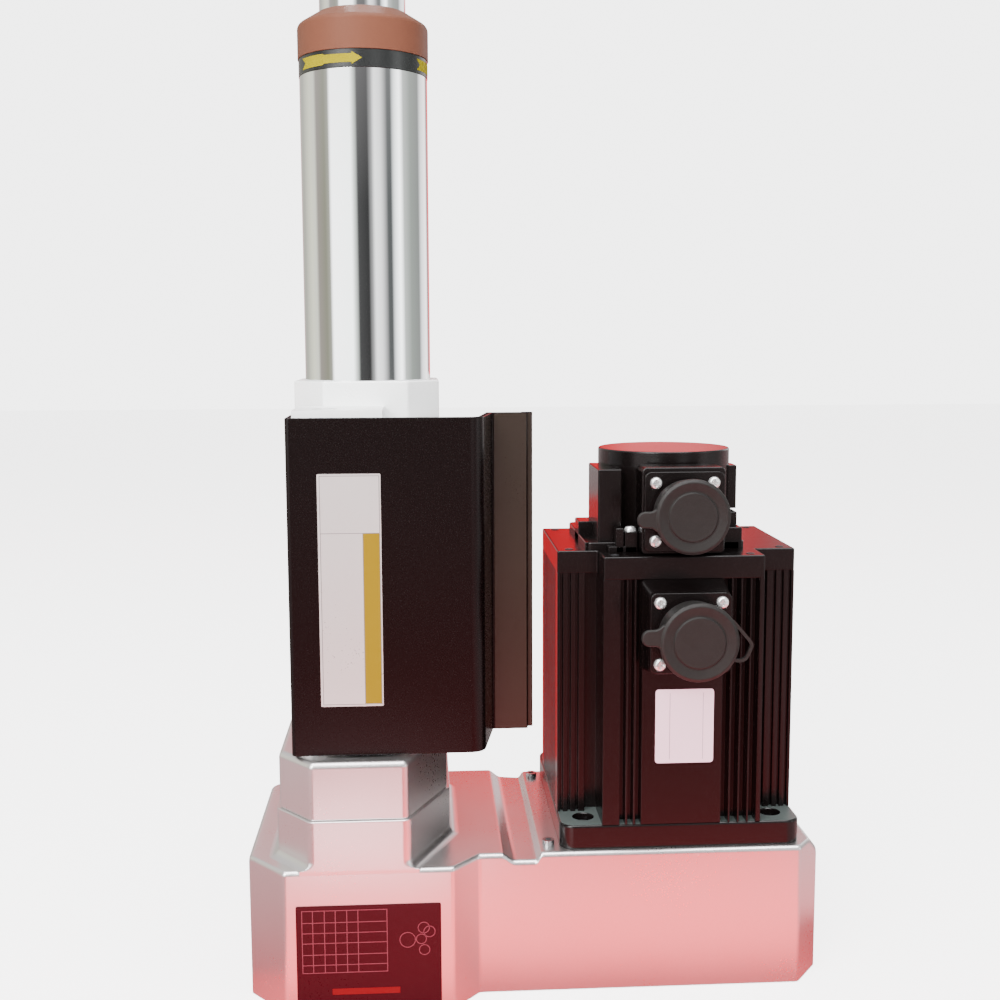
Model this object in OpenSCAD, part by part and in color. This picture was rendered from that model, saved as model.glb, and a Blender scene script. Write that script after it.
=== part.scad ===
// Self-feed drilling unit with a servo spindle drive.
// The unit stands on the bottom of its gear case. The origin is where the
// spindle axis meets that bottom, +Z points along the spindle to the tool,
// -Y is the front with the safety cover, and the motor stands at +X.

/* [Gear case] */
// Height of the gear case
case_h = 76.5; // [70:0.5:90]
// Wall thickness of the gear case
case_wall = 6; // [5:0.5:8]
// Thickness of the case's top wall
case_top = 10; // [9:0.5:14]
// Left side of the case, from the spindle axis
case_left = 64; // [62:1:72]
// Right end of the case, from the spindle axis
case_right = 244.5; // [244:0.5:260]
// Front of the left bay, from the spindle axis
bay_front = 100; // [98:1:110]
// Back of the left bay, from the spindle axis
bay_back = 55; // [54:1:65]
// Front of the right bay, from the spindle axis
arm_front = 84; // [83:0.5:95]
// Back of the right bay, from the spindle axis
arm_back = 50.5; // [50.5:0.5:53.5]
// Depth of the channel across the top of the case
channel_depth = 4; // [1:0.5:5]
// Thickness of the bottom cover plate
floor_t = 8; // [8:0.5:10]

/* [Gears] */
// Module of the spur gears
gear_module = 2; // [2:0.05:2.05]
// Teeth of the spindle gear
spindle_teeth = 36; // [36:1:37]
// Teeth of the idler gear
idler_teeth = 46; // [46:1:47]
// Teeth of the motor gear
motor_teeth = 40; // [40:1:41]
// Face width of the gears
gear_width = 20; // [16:0.5:22]
// Play between meshed flanks
backlash = 0.15; // [0.1:0.01:0.3]

/* [Body] */
// Height of the neck tier cast with the case
tier_h = 26; // [22:0.5:30]
// Height of the body casting's foot
foot_h = 30.5; // [27:0.5:34]
// Height of the body casting above its foot
column_h = 191.5; // [185:0.5:200]
// Half width of the column across its flats
column_half = 39.5; // [39:0.5:43]
// Half width of a flat of the column
column_flat = 22.6; // [19:0.2:24]

/* [Barrel and quill] */
// Outer diameter of the chromed barrel
barrel_d = 70; // [69:0.5:71]
// Length of the barrel outside the body casting, with the band
barrel_len = 173.5; // [165:0.5:200]
// Outer diameter of the quill
quill_d = 47; // [44:0.5:47.5]
// Feed stroke of the quill
stroke = 80; // [60:1:82]
// How far the retracted quill stands out of the nose collar
quill_out = 26; // [24:0.5:40]
// Width of the direction band
band_w = 9.5; // [7:0.5:14]
// Height of the nose collar
collar_h = 24.5; // [22:0.5:30]

/* [Cover] */
// Height of the safety cover
cover_h = 173.5; // [160:0.5:175]
// Wall of the cover profile
cover_wall = 3; // [2:0.5:4]
// Front of the cover, from the spindle axis
cover_front = 90.3; // [89:0.5:97]
// Left side of the cover, from the spindle axis
cover_left = 38.6; // [38:0.5:44]
// Right side of the cover at its front, from the spindle axis
cover_right = 62; // [60:0.5:66]

/* [Motor] */
// Side of the square motor flange
flange_w = 130; // [130:1:134]
// Thickness of the motor flange
flange_t = 13; // [11:0.5:16]
// Pitch circle of the flange holes
flange_pcd = 145; // [143:1:147]
// Height of the motor body between flange and end bell
motor_h = 132.5; // [125:0.5:150]
// Height of the end bell
bell_h = 12; // [10:0.5:16]
// Height of the encoder housing
encoder_h = 52; // [49:0.5:62]
// Diameter of the encoder housing
encoder_d = 73.5; // [71:0.5:76]
// Motor axis, distance to the right of the spindle axis
motor_x = 166; // [165.5:0.1:166.5]
// Motor axis, distance in front of the spindle axis
motor_front = 15; // [14:0.5:16]

/* [Hidden] */

$fn = 72;
run_gap = 0.05;   // radial clearance of a running fit
seat_gap = 0.02;  // radial clearance of a seated ring
slip = 0.3;       // clearance between parts that only lie beside each other
eps = 0.01;

// Levels along the spindle axis
tier_z = case_h;
seam_z = case_h + tier_h;
foot_z = seam_z + foot_h;
head_z = foot_z + column_h;
band_z = head_z + barrel_len - band_w;
nose_z = head_z + barrel_len;
collar_z = nose_z + collar_h;
quill_z = collar_z + quill_out;
cover_z = foot_z + 1.4;

// Drive train
bearing_h = 13;
sleeve_r = 15;
bearing_r = 27.5;
boss_wall = 8;
high_bearing_z = case_h - case_top - 8.5;
gear_z = high_bearing_z - 26;
low_bearing_z = gear_z - 21;
sleeve_top = seam_z + 19;
spline_r = 10;
spline_root = 8;
spline_key = 4;
idler_pin_r = 10;
idler_pin_z = 5;
idler_pin_top = case_h - case_top + 2;
idler_seat_r = 18.5;
rotor_shaft_r = 11;
motor_y = -motor_front;
pilot_r = 55;
pilot_h = 5;

// Quill and its cylinder
arm_z = foot_z + 6.5;
arm_h = 12;
tail_r = 18;
tail_bore = 12;
cavity_r = 26;
web_z = arm_z + arm_h + stroke + 4;
web_h = 12;
barrel_z = web_z + web_h;
barrel_wall = 5.9;
bore_r = barrel_d / 2 - barrel_wall;
guide_len = 45.8;
piston_z = barrel_z + 4;
piston_h = 16;
quill_foot = piston_z + piston_h;
quill_r = quill_d / 2;
bearing_bore = 8.5;
bearing_seat = 17.5;
spigot_h = 8;
rear_seat_z = quill_foot + spigot_h;
nose_seat_z = quill_z - 30;

// Feed control beside the column
rod_y = -68;
damper_x = 24;
damper_r = 13;
damper_rod_r = 4.5;
damper_bore = 9;
damper_z = arm_z + arm_h;
damper_chamber = stroke + 8;
damper_top = damper_z + 10 + damper_chamber + 8;
check_z = damper_z + 10 + damper_chamber - 5.5;
stop_x = -20;
stop_r = 6;
shelf_z = cover_z + cover_h - 7.5;
shelf_h = 11;
shelf_right = damper_x - damper_r - 1;
plate_t = 10;
slot_half = 11;

// Sensor rail and its dog
rail_x = -20;
rail_w = 14;
rail_t = 6;
dog_z = arm_z + arm_h + 9;
dog_h = 10;
rail_z = dog_z - 14;
rail_h = stroke + dog_h + 18;
sensor_h = 20;

// Motor
flange_z = case_h;
body_z = flange_z + flange_t;
bell_z = body_z + motor_h;
bell_top = bell_z + bell_h;
panel_half = 42.6;
panel_front = 65;
side_half = 64.5;
side_front = 43;
gap_w = 6.9;
stator_r = 53;
rotor_r = 34;
hole_at = flange_pcd / 2 * sin(45);
power_z = bell_z - 25;
encoder_zc = bell_top + 23;
// Front of the encoder's foot plate and connector pad
pad_front = 41;
socket_w = 42;
socket_t = 3;
socket_len = 19.5;
cap_lip = 4;

function polar(r, a) = [r * cos(a), r * sin(a)];

// Polygon moved inwards by d, for points listed counter-clockwise
function edge_in(a, b) = let(v = b - a) [-v[1], v[0]] / norm(v);
function inset(p, d) = [
  for (i = [0 : len(p) - 1])
    let(n = len(p), n1 = edge_in(p[(i + n - 1) % n], p[i]), n2 = edge_in(p[i], p[(i + 1) % n]))
      p[i] + (n1 + n2) * d / (1 + n1 * n2)
];

// Polygon with each corner rounded to radius r by k chords
function rounded(p, r, k = 4) = [
  for (i = [0 : len(p) - 1])
    let(n = len(p), u = p[(i + n - 1) % n] - p[i], v = p[(i + 1) % n] - p[i],
        un = u / norm(u), vn = v / norm(v),
        half = acos(un * vn) / 2,
        bis = (un + vn) / norm(un + vn),
        c = p[i] + bis * r / sin(half),
        a = p[i] + un * r / tan(half), b = p[i] + vn * r / tan(half),
        a0 = atan2(a[1] - c[1], a[0] - c[0]), a1 = atan2(b[1] - c[1], b[0] - c[0]),
        turn = ((a1 - a0) % 360 + 540) % 360 - 180)
      for (j = [0 : k]) c + polar(r, a0 + turn * j / k)
];

// Outline of the gear case seen from above
arm_x = 57.5;
bay_x = 43.5;
step_x0 = 70;
step_x1 = 90;
channel_x0 = 75.6;
channel_x1 = 88.6;
case_line = [
  [-case_left + 20.5, -bay_front], [bay_x, -bay_front], [arm_x, -arm_front],
  [case_right - 14.5, -arm_front], [case_right, -arm_front + 19], [case_right, arm_back - 14],
  [case_right - 14, arm_back], [step_x1, arm_back], [step_x0, bay_back],
  [-case_left + 19, bay_back], [-case_left, bay_back - 22], [-case_left, -bay_front + 24]
];

// Outline of the neck, grown outwards by g
neck_left = 46.8;
neck_right = 41.5;
neck_back = 46;
neck_front = bay_front - 1.5;
neck_line = [
  [-29, -neck_front], [20, -neck_front], [neck_right, -neck_front + 48],
  [neck_right, neck_back - 22], [22, neck_back], [-22, neck_back],
  [-neck_left, neck_back - 24], [-neck_left, -neck_front + 22]
];
function neck_out(g) = rounded(inset(neck_line, -g), 3);

function octagon(h, f) = [
  [f, -h], [h, -f], [h, f], [f, h], [-f, h], [-h, f], [-h, -f], [-f, -h]
];

module tube(r, bore, h) {
  difference() {
    cylinder(r = r, h = h);
    translate([0, 0, -1]) cylinder(r = bore, h = h + 2);
  }
}

// Ball bearing drawn as one ring with its shield grooves
module bearing(r, bore, h) {
  mid = (r + bore) / 2;
  w = (r - bore) / 4;
  rotate_extrude() difference() {
    translate([bore, 0]) square([r - bore, h]);
    translate([mid - w, -1]) square([2 * w, 1.6]);
    translate([mid - w, h - 0.6]) square([2 * w, 1.6]);
  }
}

// Cap screw pointing down from its seat at z = 0
module cap_screw(d, len, head_h = 0) {
  hh = head_h > 0 ? head_h : d;
  difference() {
    cylinder(d = 1.6 * d, h = hh, $fn = 32);
    translate([0, 0, hh - 0.5 * d]) cylinder(d = 0.9 * d, h = d, $fn = 6);
  }
  translate([0, 0, -len]) cylinder(d = d, h = len + eps, $fn = 32);
}

// Involute spur gear. Tooth 0 is centred on +X and turned by phase.
pressure = 20;
function inv_point(rb, t) = let(a = t * 180 / PI) [rb * (cos(a) + t * sin(a)), rb * (sin(a) - t * cos(a))];
function roll_at(rb, r) = r <= rb ? 0 : sqrt(pow(r / rb, 2) - 1);
function turn_pt(p, a) = [p[0] * cos(a) - p[1] * sin(a), p[0] * sin(a) + p[1] * cos(a)];
function flank(teeth, k) =
  let(rp = gear_module * teeth / 2, rb = rp * cos(pressure), ra = rp + gear_module,
      rf = rp - 1.25 * gear_module,
      tp = roll_at(rb, rp), pp = inv_point(rb, tp), at_pitch = atan2(pp[1], pp[0]),
      half = 90 / teeth - backlash / 2 / rp * 180 / PI,
      t0 = roll_at(rb, max(rb, rf)), t1 = roll_at(rb, ra))
    concat(
      [polar(rf, -half - at_pitch - 0.4)],
      [for (i = [0 : k]) turn_pt(inv_point(rb, t0 + (t1 - t0) * i / k), -half - at_pitch)]);
function tooth(teeth, k) =
  let(f = flank(teeth, k), n = len(f))
    concat(f, [for (i = [n - 1 : -1 : 0]) [f[i][0], -f[i][1]]]);
function gear_line(teeth, phase, k = 3) = [
  for (i = [0 : teeth - 1], p = tooth(teeth, k)) turn_pt(p, 360 * i / teeth + phase)
];

module spur_gear(teeth, bore, phase, web_r, hub_r) {
  rim = gear_module * (teeth / 2 - 1.25) - 6;
  difference() {
    linear_extrude(gear_width) polygon(gear_line(teeth, phase));
    translate([0, 0, -1]) cylinder(r = bore, h = gear_width + 2);
    for (z = [-1, gear_width - 3]) translate([0, 0, z]) difference() {
      cylinder(r = rim, h = 4);
      translate([0, 0, -1]) cylinder(r = hub_r, h = 6);
    }
  }
}

// Centres and mesh phases of the train
span = norm([motor_x, motor_y]);
line_a = atan2(motor_y, motor_x);
c12 = gear_module * (spindle_teeth + idler_teeth) / 2;
c23 = gear_module * (idler_teeth + motor_teeth) / 2;
idler_a = line_a - acos((span * span + c12 * c12 - c23 * c23) / (2 * span * c12));
idler_at = polar(c12, idler_a);
to_motor = atan2(motor_y - idler_at[1], motor_x - idler_at[0]);
idler_phase = idler_a + 180 + spindle_teeth / idler_teeth * idler_a + 180 / idler_teeth;
motor_phase = to_motor + 180 - idler_teeth / motor_teeth * (idler_phase - to_motor) + 180 / motor_teeth;

// Positions of repeated fasteners
screw_in = case_wall + 5.5;
bottom_at = [
  [-case_left + screw_in, -40], [-case_left + screw_in, 15], [-20, -bay_front + screw_in],
  [25, -bay_front + screw_in], [110, -arm_front + screw_in], [200, -arm_front + screw_in],
  [case_right - screw_in, -30], [case_right - screw_in, 15], [200, arm_back - screw_in],
  [110, arm_back - screw_in], [10, bay_back - screw_in]
];
case_screw_at = [[95.4, -71], [95.4, 39]];
bracket_at = [-16, 16];
// Blind end of the bracket's tapped holes, just outside the barrel
tap_end = sqrt(pow(barrel_d / 2, 2) - pow(bracket_at[1] - 2.5, 2)) + 0.8;

module in_corners(a) { for (x = [-a, a], y = [-a, a]) translate([x, y, 0]) children(); }
module at_motor() { translate([motor_x, motor_y, 0]) children(); }

// Housing

module gear_case() color([0.80, 0.78, 0.78]) {
  ledge_h = 6;
  bevel_w = 7;
  bevel_h = 9;
  top_in = case_h - case_top;
  difference() {
    union() {
      difference() {
        linear_extrude(case_h) polygon(rounded(case_line, 3));
        translate([0, 0, -1]) linear_extrude(floor_t + 1) polygon(inset(case_line, case_wall));
        translate([0, 0, floor_t - eps]) linear_extrude(ledge_h + 1) polygon(inset(case_line, case_wall + 10));
        translate([0, 0, floor_t + ledge_h]) linear_extrude(top_in - floor_t - ledge_h)
          polygon(inset(case_line, case_wall));
      }
      translate([0, 0, tier_z - eps]) linear_extrude(tier_h + eps) polygon(neck_out(1.5));
      translate([0, 0, high_bearing_z - 2]) cylinder(r = bearing_r + boss_wall, h = top_in - high_bearing_z + 3);
      translate([idler_at[0], idler_at[1], gear_z + gear_width + 1.5])
        cylinder(r = idler_pin_r + 6, h = top_in - gear_z - gear_width - 1);
    }
    // Seat of the upper sleeve bearing and the passage above it
    translate([0, 0, high_bearing_z - 3]) cylinder(r = bearing_r + seat_gap, h = bearing_h + 3);
    translate([0, 0, high_bearing_z + bearing_h - 1]) cylinder(r = cavity_r, h = tier_h + case_h);
    translate([idler_at[0], idler_at[1], gear_z + gear_width]) cylinder(r = idler_pin_r + seat_gap, h = idler_pin_top - gear_z - gear_width + 1.5);
    // Channel between the two bays
    translate([0, 0, case_h - channel_depth]) rotate([90, 0, 0]) linear_extrude(400, center = true)
      polygon([[channel_x0, 0], [channel_x1, 0], [channel_x1 + 2.4, 5], [channel_x0 - 5.7, 5]]);
    // Bevelled end
    translate([case_right, 0, case_h]) rotate([90, 0, 0]) linear_extrude(400, center = true)
      polygon([[-bevel_w, 0.01], [1, 0.01], [1, -bevel_h * (bevel_w + 1) / bevel_w], [0, -bevel_h]]);
    // Motor pilot and its tapped holes
    at_motor() {
      translate([0, 0, top_in - 1]) cylinder(r = pilot_r + run_gap, h = case_top + 2);
      translate([0, 0, top_in - 1]) in_corners(hole_at) cylinder(r = 3 + seat_gap, h = case_top + 2, $fn = 32);
    }
    for (p = case_screw_at) translate([p[0], p[1], case_h - 8]) cylinder(r = 2 + seat_gap, h = 9, $fn = 32);
    for (p = bottom_at) translate([p[0], p[1], 1]) cylinder(r = 2.5 + seat_gap, h = floor_t + 4, $fn = 32);
  }
}

module bottom_cover() color([0.72, 0.71, 0.71]) {
  difference() {
    union() {
      linear_extrude(floor_t) polygon(inset(case_line, case_wall + slip));
      cylinder(r = bearing_r + boss_wall, h = low_bearing_z + bearing_h);
      translate([idler_at[0], idler_at[1], 0]) cylinder(r = idler_pin_r + 6, h = gear_z - 1.5);
    }
    translate([0, 0, low_bearing_z]) cylinder(r = bearing_r + seat_gap, h = bearing_h + 1);
    translate([idler_at[0], idler_at[1], idler_pin_z]) cylinder(r = idler_pin_r + seat_gap, h = gear_z);
    for (p = bottom_at) translate([p[0], p[1], -1]) {
      cylinder(r = 2.5 + seat_gap, h = floor_t + 2, $fn = 32);
      cylinder(r = 4.5, h = 6.2, $fn = 32);
    }
  }
}

module bottom_screws() color([0.25, 0.25, 0.26])
  for (p = bottom_at) translate([p[0], p[1], 5.2]) rotate([180, 0, 0]) cap_screw(5, 7);

module case_screws() color([0.86, 0.86, 0.86])
  for (p = case_screw_at) translate([p[0], p[1], case_h]) cap_screw(4, 7, 2.6);

module body_casting() color([0.80, 0.79, 0.80]) {
  difference() {
    union() {
      translate([0, 0, seam_z]) linear_extrude(foot_h - 3) polygon(neck_out(0));
      translate([0, 0, foot_z - 3]) linear_extrude(1.5) polygon(neck_out(-1.2));
      translate([0, 0, foot_z - 1.5]) linear_extrude(1.5) polygon(neck_out(-3));
      translate([0, 0, foot_z - eps]) linear_extrude(column_h + eps)
        polygon(rounded(octagon(column_half, column_flat), 2));
      for (z = port_z) translate([0, column_half - 1, z]) rotate([-90, 0, 0]) cylinder(r = port_r + 4.5, h = 7);
    }
    translate([0, 0, seam_z - 1]) cylinder(r = cavity_r, h = web_z - seam_z + 1);
    translate([0, 0, web_z - 1]) cylinder(r = tail_r + 2 + seat_gap, h = web_h + 2);
    translate([0, 0, barrel_z]) cylinder(r = barrel_d / 2 + seat_gap, h = head_z);
    // Slot for the feed arm
    translate([-slot_half, -column_half - 1, foot_z + 3]) cube([2 * slot_half, column_half, web_z - foot_z - 3]);
    // Tapped holes for the bracket and the sensor rail
    for (x = bracket_at) translate([x, -tap_end, bracket_z]) rotate([90, 0, 0])
      cylinder(r = 2.5 + seat_gap, h = column_half + 1 - tap_end, $fn = 32);
    translate([damper_x, rod_y, foot_z - 12.5]) cylinder(r = 3 + seat_gap, h = 14, $fn = 32);
    for (z = [rail_z + 8, rail_z + rail_h - 8]) translate([rail_x, -column_half + 7, z]) rotate([90, 0, 0])
      cylinder(r = 2 + seat_gap, h = 9, $fn = 32);
    // Air ports on the back
    for (z = port_z) translate([0, column_half - 3.5, z]) rotate([-90, 0, 0]) {
      cylinder(r = port_r, h = 12, $fn = 48);
      translate([0, 0, -gallery_len]) cylinder(r = gallery_r, h = gallery_len + 1, $fn = 32);
    }
  }
}
port_r = 4.4;
gallery_r = 1.6;
cross_r = 1.1;
gallery_y = (barrel_d / 2 + bore_r) / 2;
gallery_len = column_half - barrel_d / 2 - 1.5;
port_z = [barrel_z + 4.5, head_z - 20];

module barrel() color([0.86, 0.87, 0.88]) {
  r = barrel_d / 2;
  difference() {
    translate([0, 0, barrel_z]) tube(r, bore_r, nose_z - barrel_z);
    translate([0, 0, band_z]) difference() {
      cylinder(r = r + 1, h = band_w + 1);
      translate([0, 0, -1]) cylinder(r = r - 0.8, h = band_w + 3);
    }
    // Feed port through the wall, and the return port's gallery up the wall
    translate([0, bore_r - 3, port_z[0]]) rotate([-90, 0, 0]) cylinder(r = gallery_r, h = 12, $fn = 32);
    translate([0, gallery_y, port_z[1]]) rotate([-90, 0, 0]) cylinder(r = cross_r, h = 6, $fn = 32);
    translate([0, gallery_y, port_z[1] - 3]) cylinder(r = gallery_r, h = stroke + 24, $fn = 32);
    translate([0, bore_r - 2, port_z[1] + stroke + 16]) rotate([-90, 0, 0])
      cylinder(r = cross_r, h = gallery_y - bore_r + 2, $fn = 32);
  }
}

module direction_band() color([0.05, 0.05, 0.06])
  translate([0, 0, band_z + 0.1]) tube(barrel_d / 2 + 0.25, barrel_d / 2 - 0.8 + seat_gap, band_w - 0.2);

module nose_collar() color([0.42, 0.20, 0.14]) {
  r = barrel_d / 2 + 0.7;
  bore = quill_r + 0.4;
  cone = 6.3;
  translate([0, 0, nose_z]) rotate_extrude() polygon([
    [bore, -8], [bore_r - seat_gap, -8], [bore_r - seat_gap, 0], [r, 0], [r, collar_h - cone - 0.8],
    [r - 0.8, collar_h - cone], [bore + 1, collar_h], [bore, collar_h], [bore, collar_h - 2],
    [bore + 3, collar_h - 2.5], [bore + 3, collar_h - 8], [bore, collar_h - 8]
  ]);
}

module wiper_seal() color([0.10, 0.10, 0.11])
  translate([0, 0, collar_z - 7.8]) tube(quill_r + 3.2, quill_r + 0.1, 5);

module guide_bush() color([0.72, 0.52, 0.22])
  translate([0, 0, nose_z - 8.2 - guide_len]) tube(bore_r - seat_gap, quill_r + run_gap, guide_len);

module tail_bush() color([0.72, 0.52, 0.22]) {
  translate([0, 0, web_z + 0.2]) tube(tail_r + 2, tail_r + run_gap, web_h - 0.2);
  translate([0, 0, barrel_z]) tube(tail_r + 5, tail_r + run_gap, 2);
}

// Profile of the safety cover seen from above
cover_corner = 10;
strip_y = -49.8;
module cover_profile() {
  w = cover_wall;
  yf = -cover_front;
  side_x = 67.2;
  side_a = atan2(side_x - cover_right, strip_y - yf - cover_corner);
  side_l = norm([side_x - cover_right, strip_y - yf - cover_corner]);
  // Front wall
  translate([-cover_left, yf]) square([cover_left + cover_right - cover_corner, w]);
  // Left wall with its inward lip
  translate([-cover_left, yf]) square([w, cover_front - 42]);
  // Rounded front corner
  translate([cover_right - cover_corner, yf + cover_corner]) difference() {
    circle(r = cover_corner);
    circle(r = cover_corner - w);
    translate([-2 * cover_corner, -2 * cover_corner]) square([2 * cover_corner, 4 * cover_corner]);
    translate([-2 * cover_corner, 0]) square([4 * cover_corner, 2 * cover_corner]);
  }
  // Slanted right wall
  translate([cover_right, yf + cover_corner]) rotate(-side_a) translate([-w, -0.2]) square([w, side_l + 0.4]);
  // Set-back strip and its return lip
  translate([side_x - w, strip_y]) square([22, w]);
  translate([side_x + 19 - w, strip_y]) square([w, 6]);
  translate([side_x + 19 - w, strip_y + 4]) square([6, 2]);
}

module safety_cover() color([0.05, 0.045, 0.05]) {
  difference() {
    translate([0, 0, cover_z]) linear_extrude(cover_h) cover_profile();
    for (z = cover_screw_z) translate([-cover_left - 1, -plate_y, z]) rotate([0, 90, 0])
      cylinder(r = 2 + seat_gap, h = cover_wall + 2, $fn = 32);
  }
}
plate_y = column_half + plate_t / 2;
// The bracket's plate ends just above the sensor rail
plate_drop = shelf_z - rail_z - rail_h - 9.9;
bracket_z = shelf_z - plate_drop / 2;
cover_screw_z = [shelf_z - plate_drop * 13 / 18, shelf_z - plate_drop * 2 / 9];

module cover_screws() color([0.16, 0.16, 0.17])
  for (z = cover_screw_z) translate([-cover_left, -plate_y, z]) rotate([0, -90, 0]) cap_screw(4, 9, 2.4);

// Bracket that carries the cover and the stop plate of the feed depth nuts
module control_bracket() color([0.80, 0.80, 0.81]) {
  left = -cover_left + cover_wall + 0.1;
  right = 62.8;
  difference() {
    union() {
      translate([left, -column_half - plate_t, shelf_z - plate_drop])
        cube([right - left, plate_t, plate_drop + eps]);
      translate([left, -cover_front + 6, shelf_z])
        cube([shelf_right - left, cover_front - 6 - column_half, shelf_h]);
    }
    translate([stop_x, rod_y, shelf_z - 1]) cylinder(r = stop_r + 1, h = shelf_h + 2, $fn = 48);
    for (x = bracket_at) translate([x, -column_half + 1, bracket_z]) rotate([90, 0, 0]) {
      cylinder(r = 2.5 + seat_gap, h = plate_t + 2, $fn = 32);
      translate([0, 0, plate_t - 4]) cylinder(r = 4.4, h = 8, $fn = 32);
    }
    for (z = cover_screw_z) translate([left - 1, -plate_y, z]) rotate([0, 90, 0])
      cylinder(r = 2 + seat_gap, h = 10, $fn = 32);
  }
}

module bracket_screws() color([0.25, 0.25, 0.26])
  for (x = bracket_at) translate([x, -column_half - plate_t + 5, bracket_z]) rotate([90, 0, 0])
    cap_screw(5, column_half + plate_t - 5.5 - tap_end, 4.6);

// Hydraulic feed check. Its body rides on the feed arm and its rod stands on the foot.
module damper_body() color([0.30, 0.31, 0.33]) {
  head = damper_top - damper_z;
  translate([damper_x, rod_y, damper_z]) difference() {
    union() {
      translate([0, 0, -6]) cylinder(r = damper_bore, h = 7);
      cylinder(r = damper_r, h = head);
      translate([0, 0, head - eps]) cylinder(r = damper_r - 3, h = 4);
    }
    translate([0, 0, -7]) cylinder(r = damper_rod_r + run_gap, h = 20, $fn = 48);
    translate([0, 0, 10]) cylinder(r = damper_bore, h = damper_chamber);
    translate([0, 0, head - 4]) cylinder(r = 3 + run_gap, h = 9, $fn = 48);
    for (z = [14, head - 14]) translate([0, 0, z]) difference() {
      cylinder(r = damper_r + 1, h = 1.6);
      translate([0, 0, -1]) cylinder(r = damper_r - 0.8, h = 4);
    }
  }
}

module speed_knob() color([0.10, 0.10, 0.11]) {
  z = damper_top + 4 + slip;
  translate([damper_x, rod_y, 0]) {
    translate([0, 0, z]) linear_extrude(8) difference() {
      circle(r = 8.5);
      for (i = [0 : 11]) rotate(30 * i) translate([9.2, 0]) circle(r = 1.4, $fn = 16);
    }
    translate([0, 0, damper_top - 3.5]) cylinder(r = 3, h = 9, $fn = 48);
    translate([-0.8, 0, z + 7]) cube([1.6, 7, 1.6]);
  }
}

// Sensors that read the quill's two ends of travel

module sensor_rail() color([0.78, 0.78, 0.79]) difference() {
  translate([rail_x - rail_w / 2, -column_half - rail_t, rail_z]) cube([rail_w, rail_t, rail_h]);
  for (z = [rail_z + 8, rail_z + rail_h - 8]) translate([rail_x, -column_half + 1, z]) rotate([90, 0, 0])
    cylinder(r = 2 + seat_gap, h = rail_t + 2, $fn = 32);
}

module feed_sensors() color([0.12, 0.14, 0.20])
  for (z = [dog_z + dog_h / 2, dog_z + dog_h / 2 + stroke - 2]) difference() {
    translate([rail_x - 6, -column_half - rail_t - 9, z - sensor_h / 2]) cube([12, 9, sensor_h]);
    translate([rail_x, -column_half - rail_t - 8, z + 2]) rotate([90, 0, 0]) cylinder(r = 3.2, h = 2, $fn = 32);
  }

// Quill and what feeds with it

module quill() color([0.84, 0.85, 0.86]) {
  top = quill_z - 4;
  difference() {
    translate([0, 0, quill_foot]) cylinder(r = quill_r, h = top - quill_foot);
    translate([0, 0, quill_foot - 1]) cylinder(r = 15, h = top);
    translate([0, 0, quill_foot - 1]) cylinder(r = 20 + seat_gap, h = spigot_h + 1);
    translate([0, 0, rear_seat_z - 1]) cylinder(r = bearing_seat + seat_gap, h = 26);
    translate([0, 0, nose_seat_z]) cylinder(r = bearing_seat + seat_gap, h = 30);
  }
}

module quill_cap() color([0.30, 0.30, 0.32]) {
  translate([0, 0, quill_z - 4]) difference() {
    union() {
      cylinder(r = quill_r - 0.5, h = 4);
      translate([0, 0, -1.8]) cylinder(r = bearing_seat - seat_gap, h = 2);
    }
    translate([0, 0, -3]) cylinder(r = 12, h = 9);
    for (i = [0 : 3]) rotate(90 * i + 45) translate([17.8, 0, 1.5]) cylinder(r = 1.5, h = 4, $fn = 24);
  }
}

module quill_piston() color([0.62, 0.63, 0.65]) {
  foot = arm_z - 4;
  groove = 6.2;
  rotate_extrude() polygon([
    [tail_bore, foot], [tail_r, foot], [tail_r, piston_z], [bore_r - 0.1, piston_z],
    [bore_r - 0.1, piston_z + 5], [bore_r - 2.6, piston_z + 5], [bore_r - 2.6, piston_z + 5 + groove],
    [bore_r - 0.1, piston_z + 5 + groove], [bore_r - 0.1, quill_foot], [20, quill_foot],
    [20, quill_foot + spigot_h], [tail_bore, quill_foot + spigot_h]
  ]);
}

module piston_seal() color([0.10, 0.10, 0.11])
  translate([0, 0, piston_z + 5.1]) tube(bore_r - 0.05, bore_r - 2.6 + seat_gap, 6);

module spindle_bearings() color([0.70, 0.71, 0.72])
  for (z = [rear_seat_z, rear_seat_z + 12.2, nose_seat_z, nose_seat_z + 12.2])
    translate([0, 0, z]) bearing(bearing_seat, bearing_bore + run_gap, 12);

module feed_arm() color([0.55, 0.56, 0.58]) {
  translate([0, 0, arm_z]) difference() {
    union() {
      cylinder(r = tail_r + 6, h = arm_h);
      translate([-9, rod_y, 0]) cube([18, -rod_y - tail_r + 2, arm_h]);
      translate([stop_x, rod_y - 9, 0]) cube([damper_x - stop_x, 18, arm_h]);
      translate([stop_x, rod_y, 0]) cylinder(r = 11, h = arm_h);
      translate([damper_x, rod_y, 0]) cylinder(r = damper_r, h = arm_h);
    }
    translate([0, 0, -1]) cylinder(r = tail_r + seat_gap, h = arm_h + 2);
    translate([stop_x, rod_y, -1]) cylinder(r = stop_r + seat_gap, h = arm_h + 2, $fn = 48);
    translate([damper_x, rod_y, -1]) cylinder(r = damper_bore + seat_gap, h = arm_h + 2);
    // Clamping slit at the back of the ring
    translate([-1, tail_r - 3, -1]) cube([2, 12, arm_h + 2]);
  }
}

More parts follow.
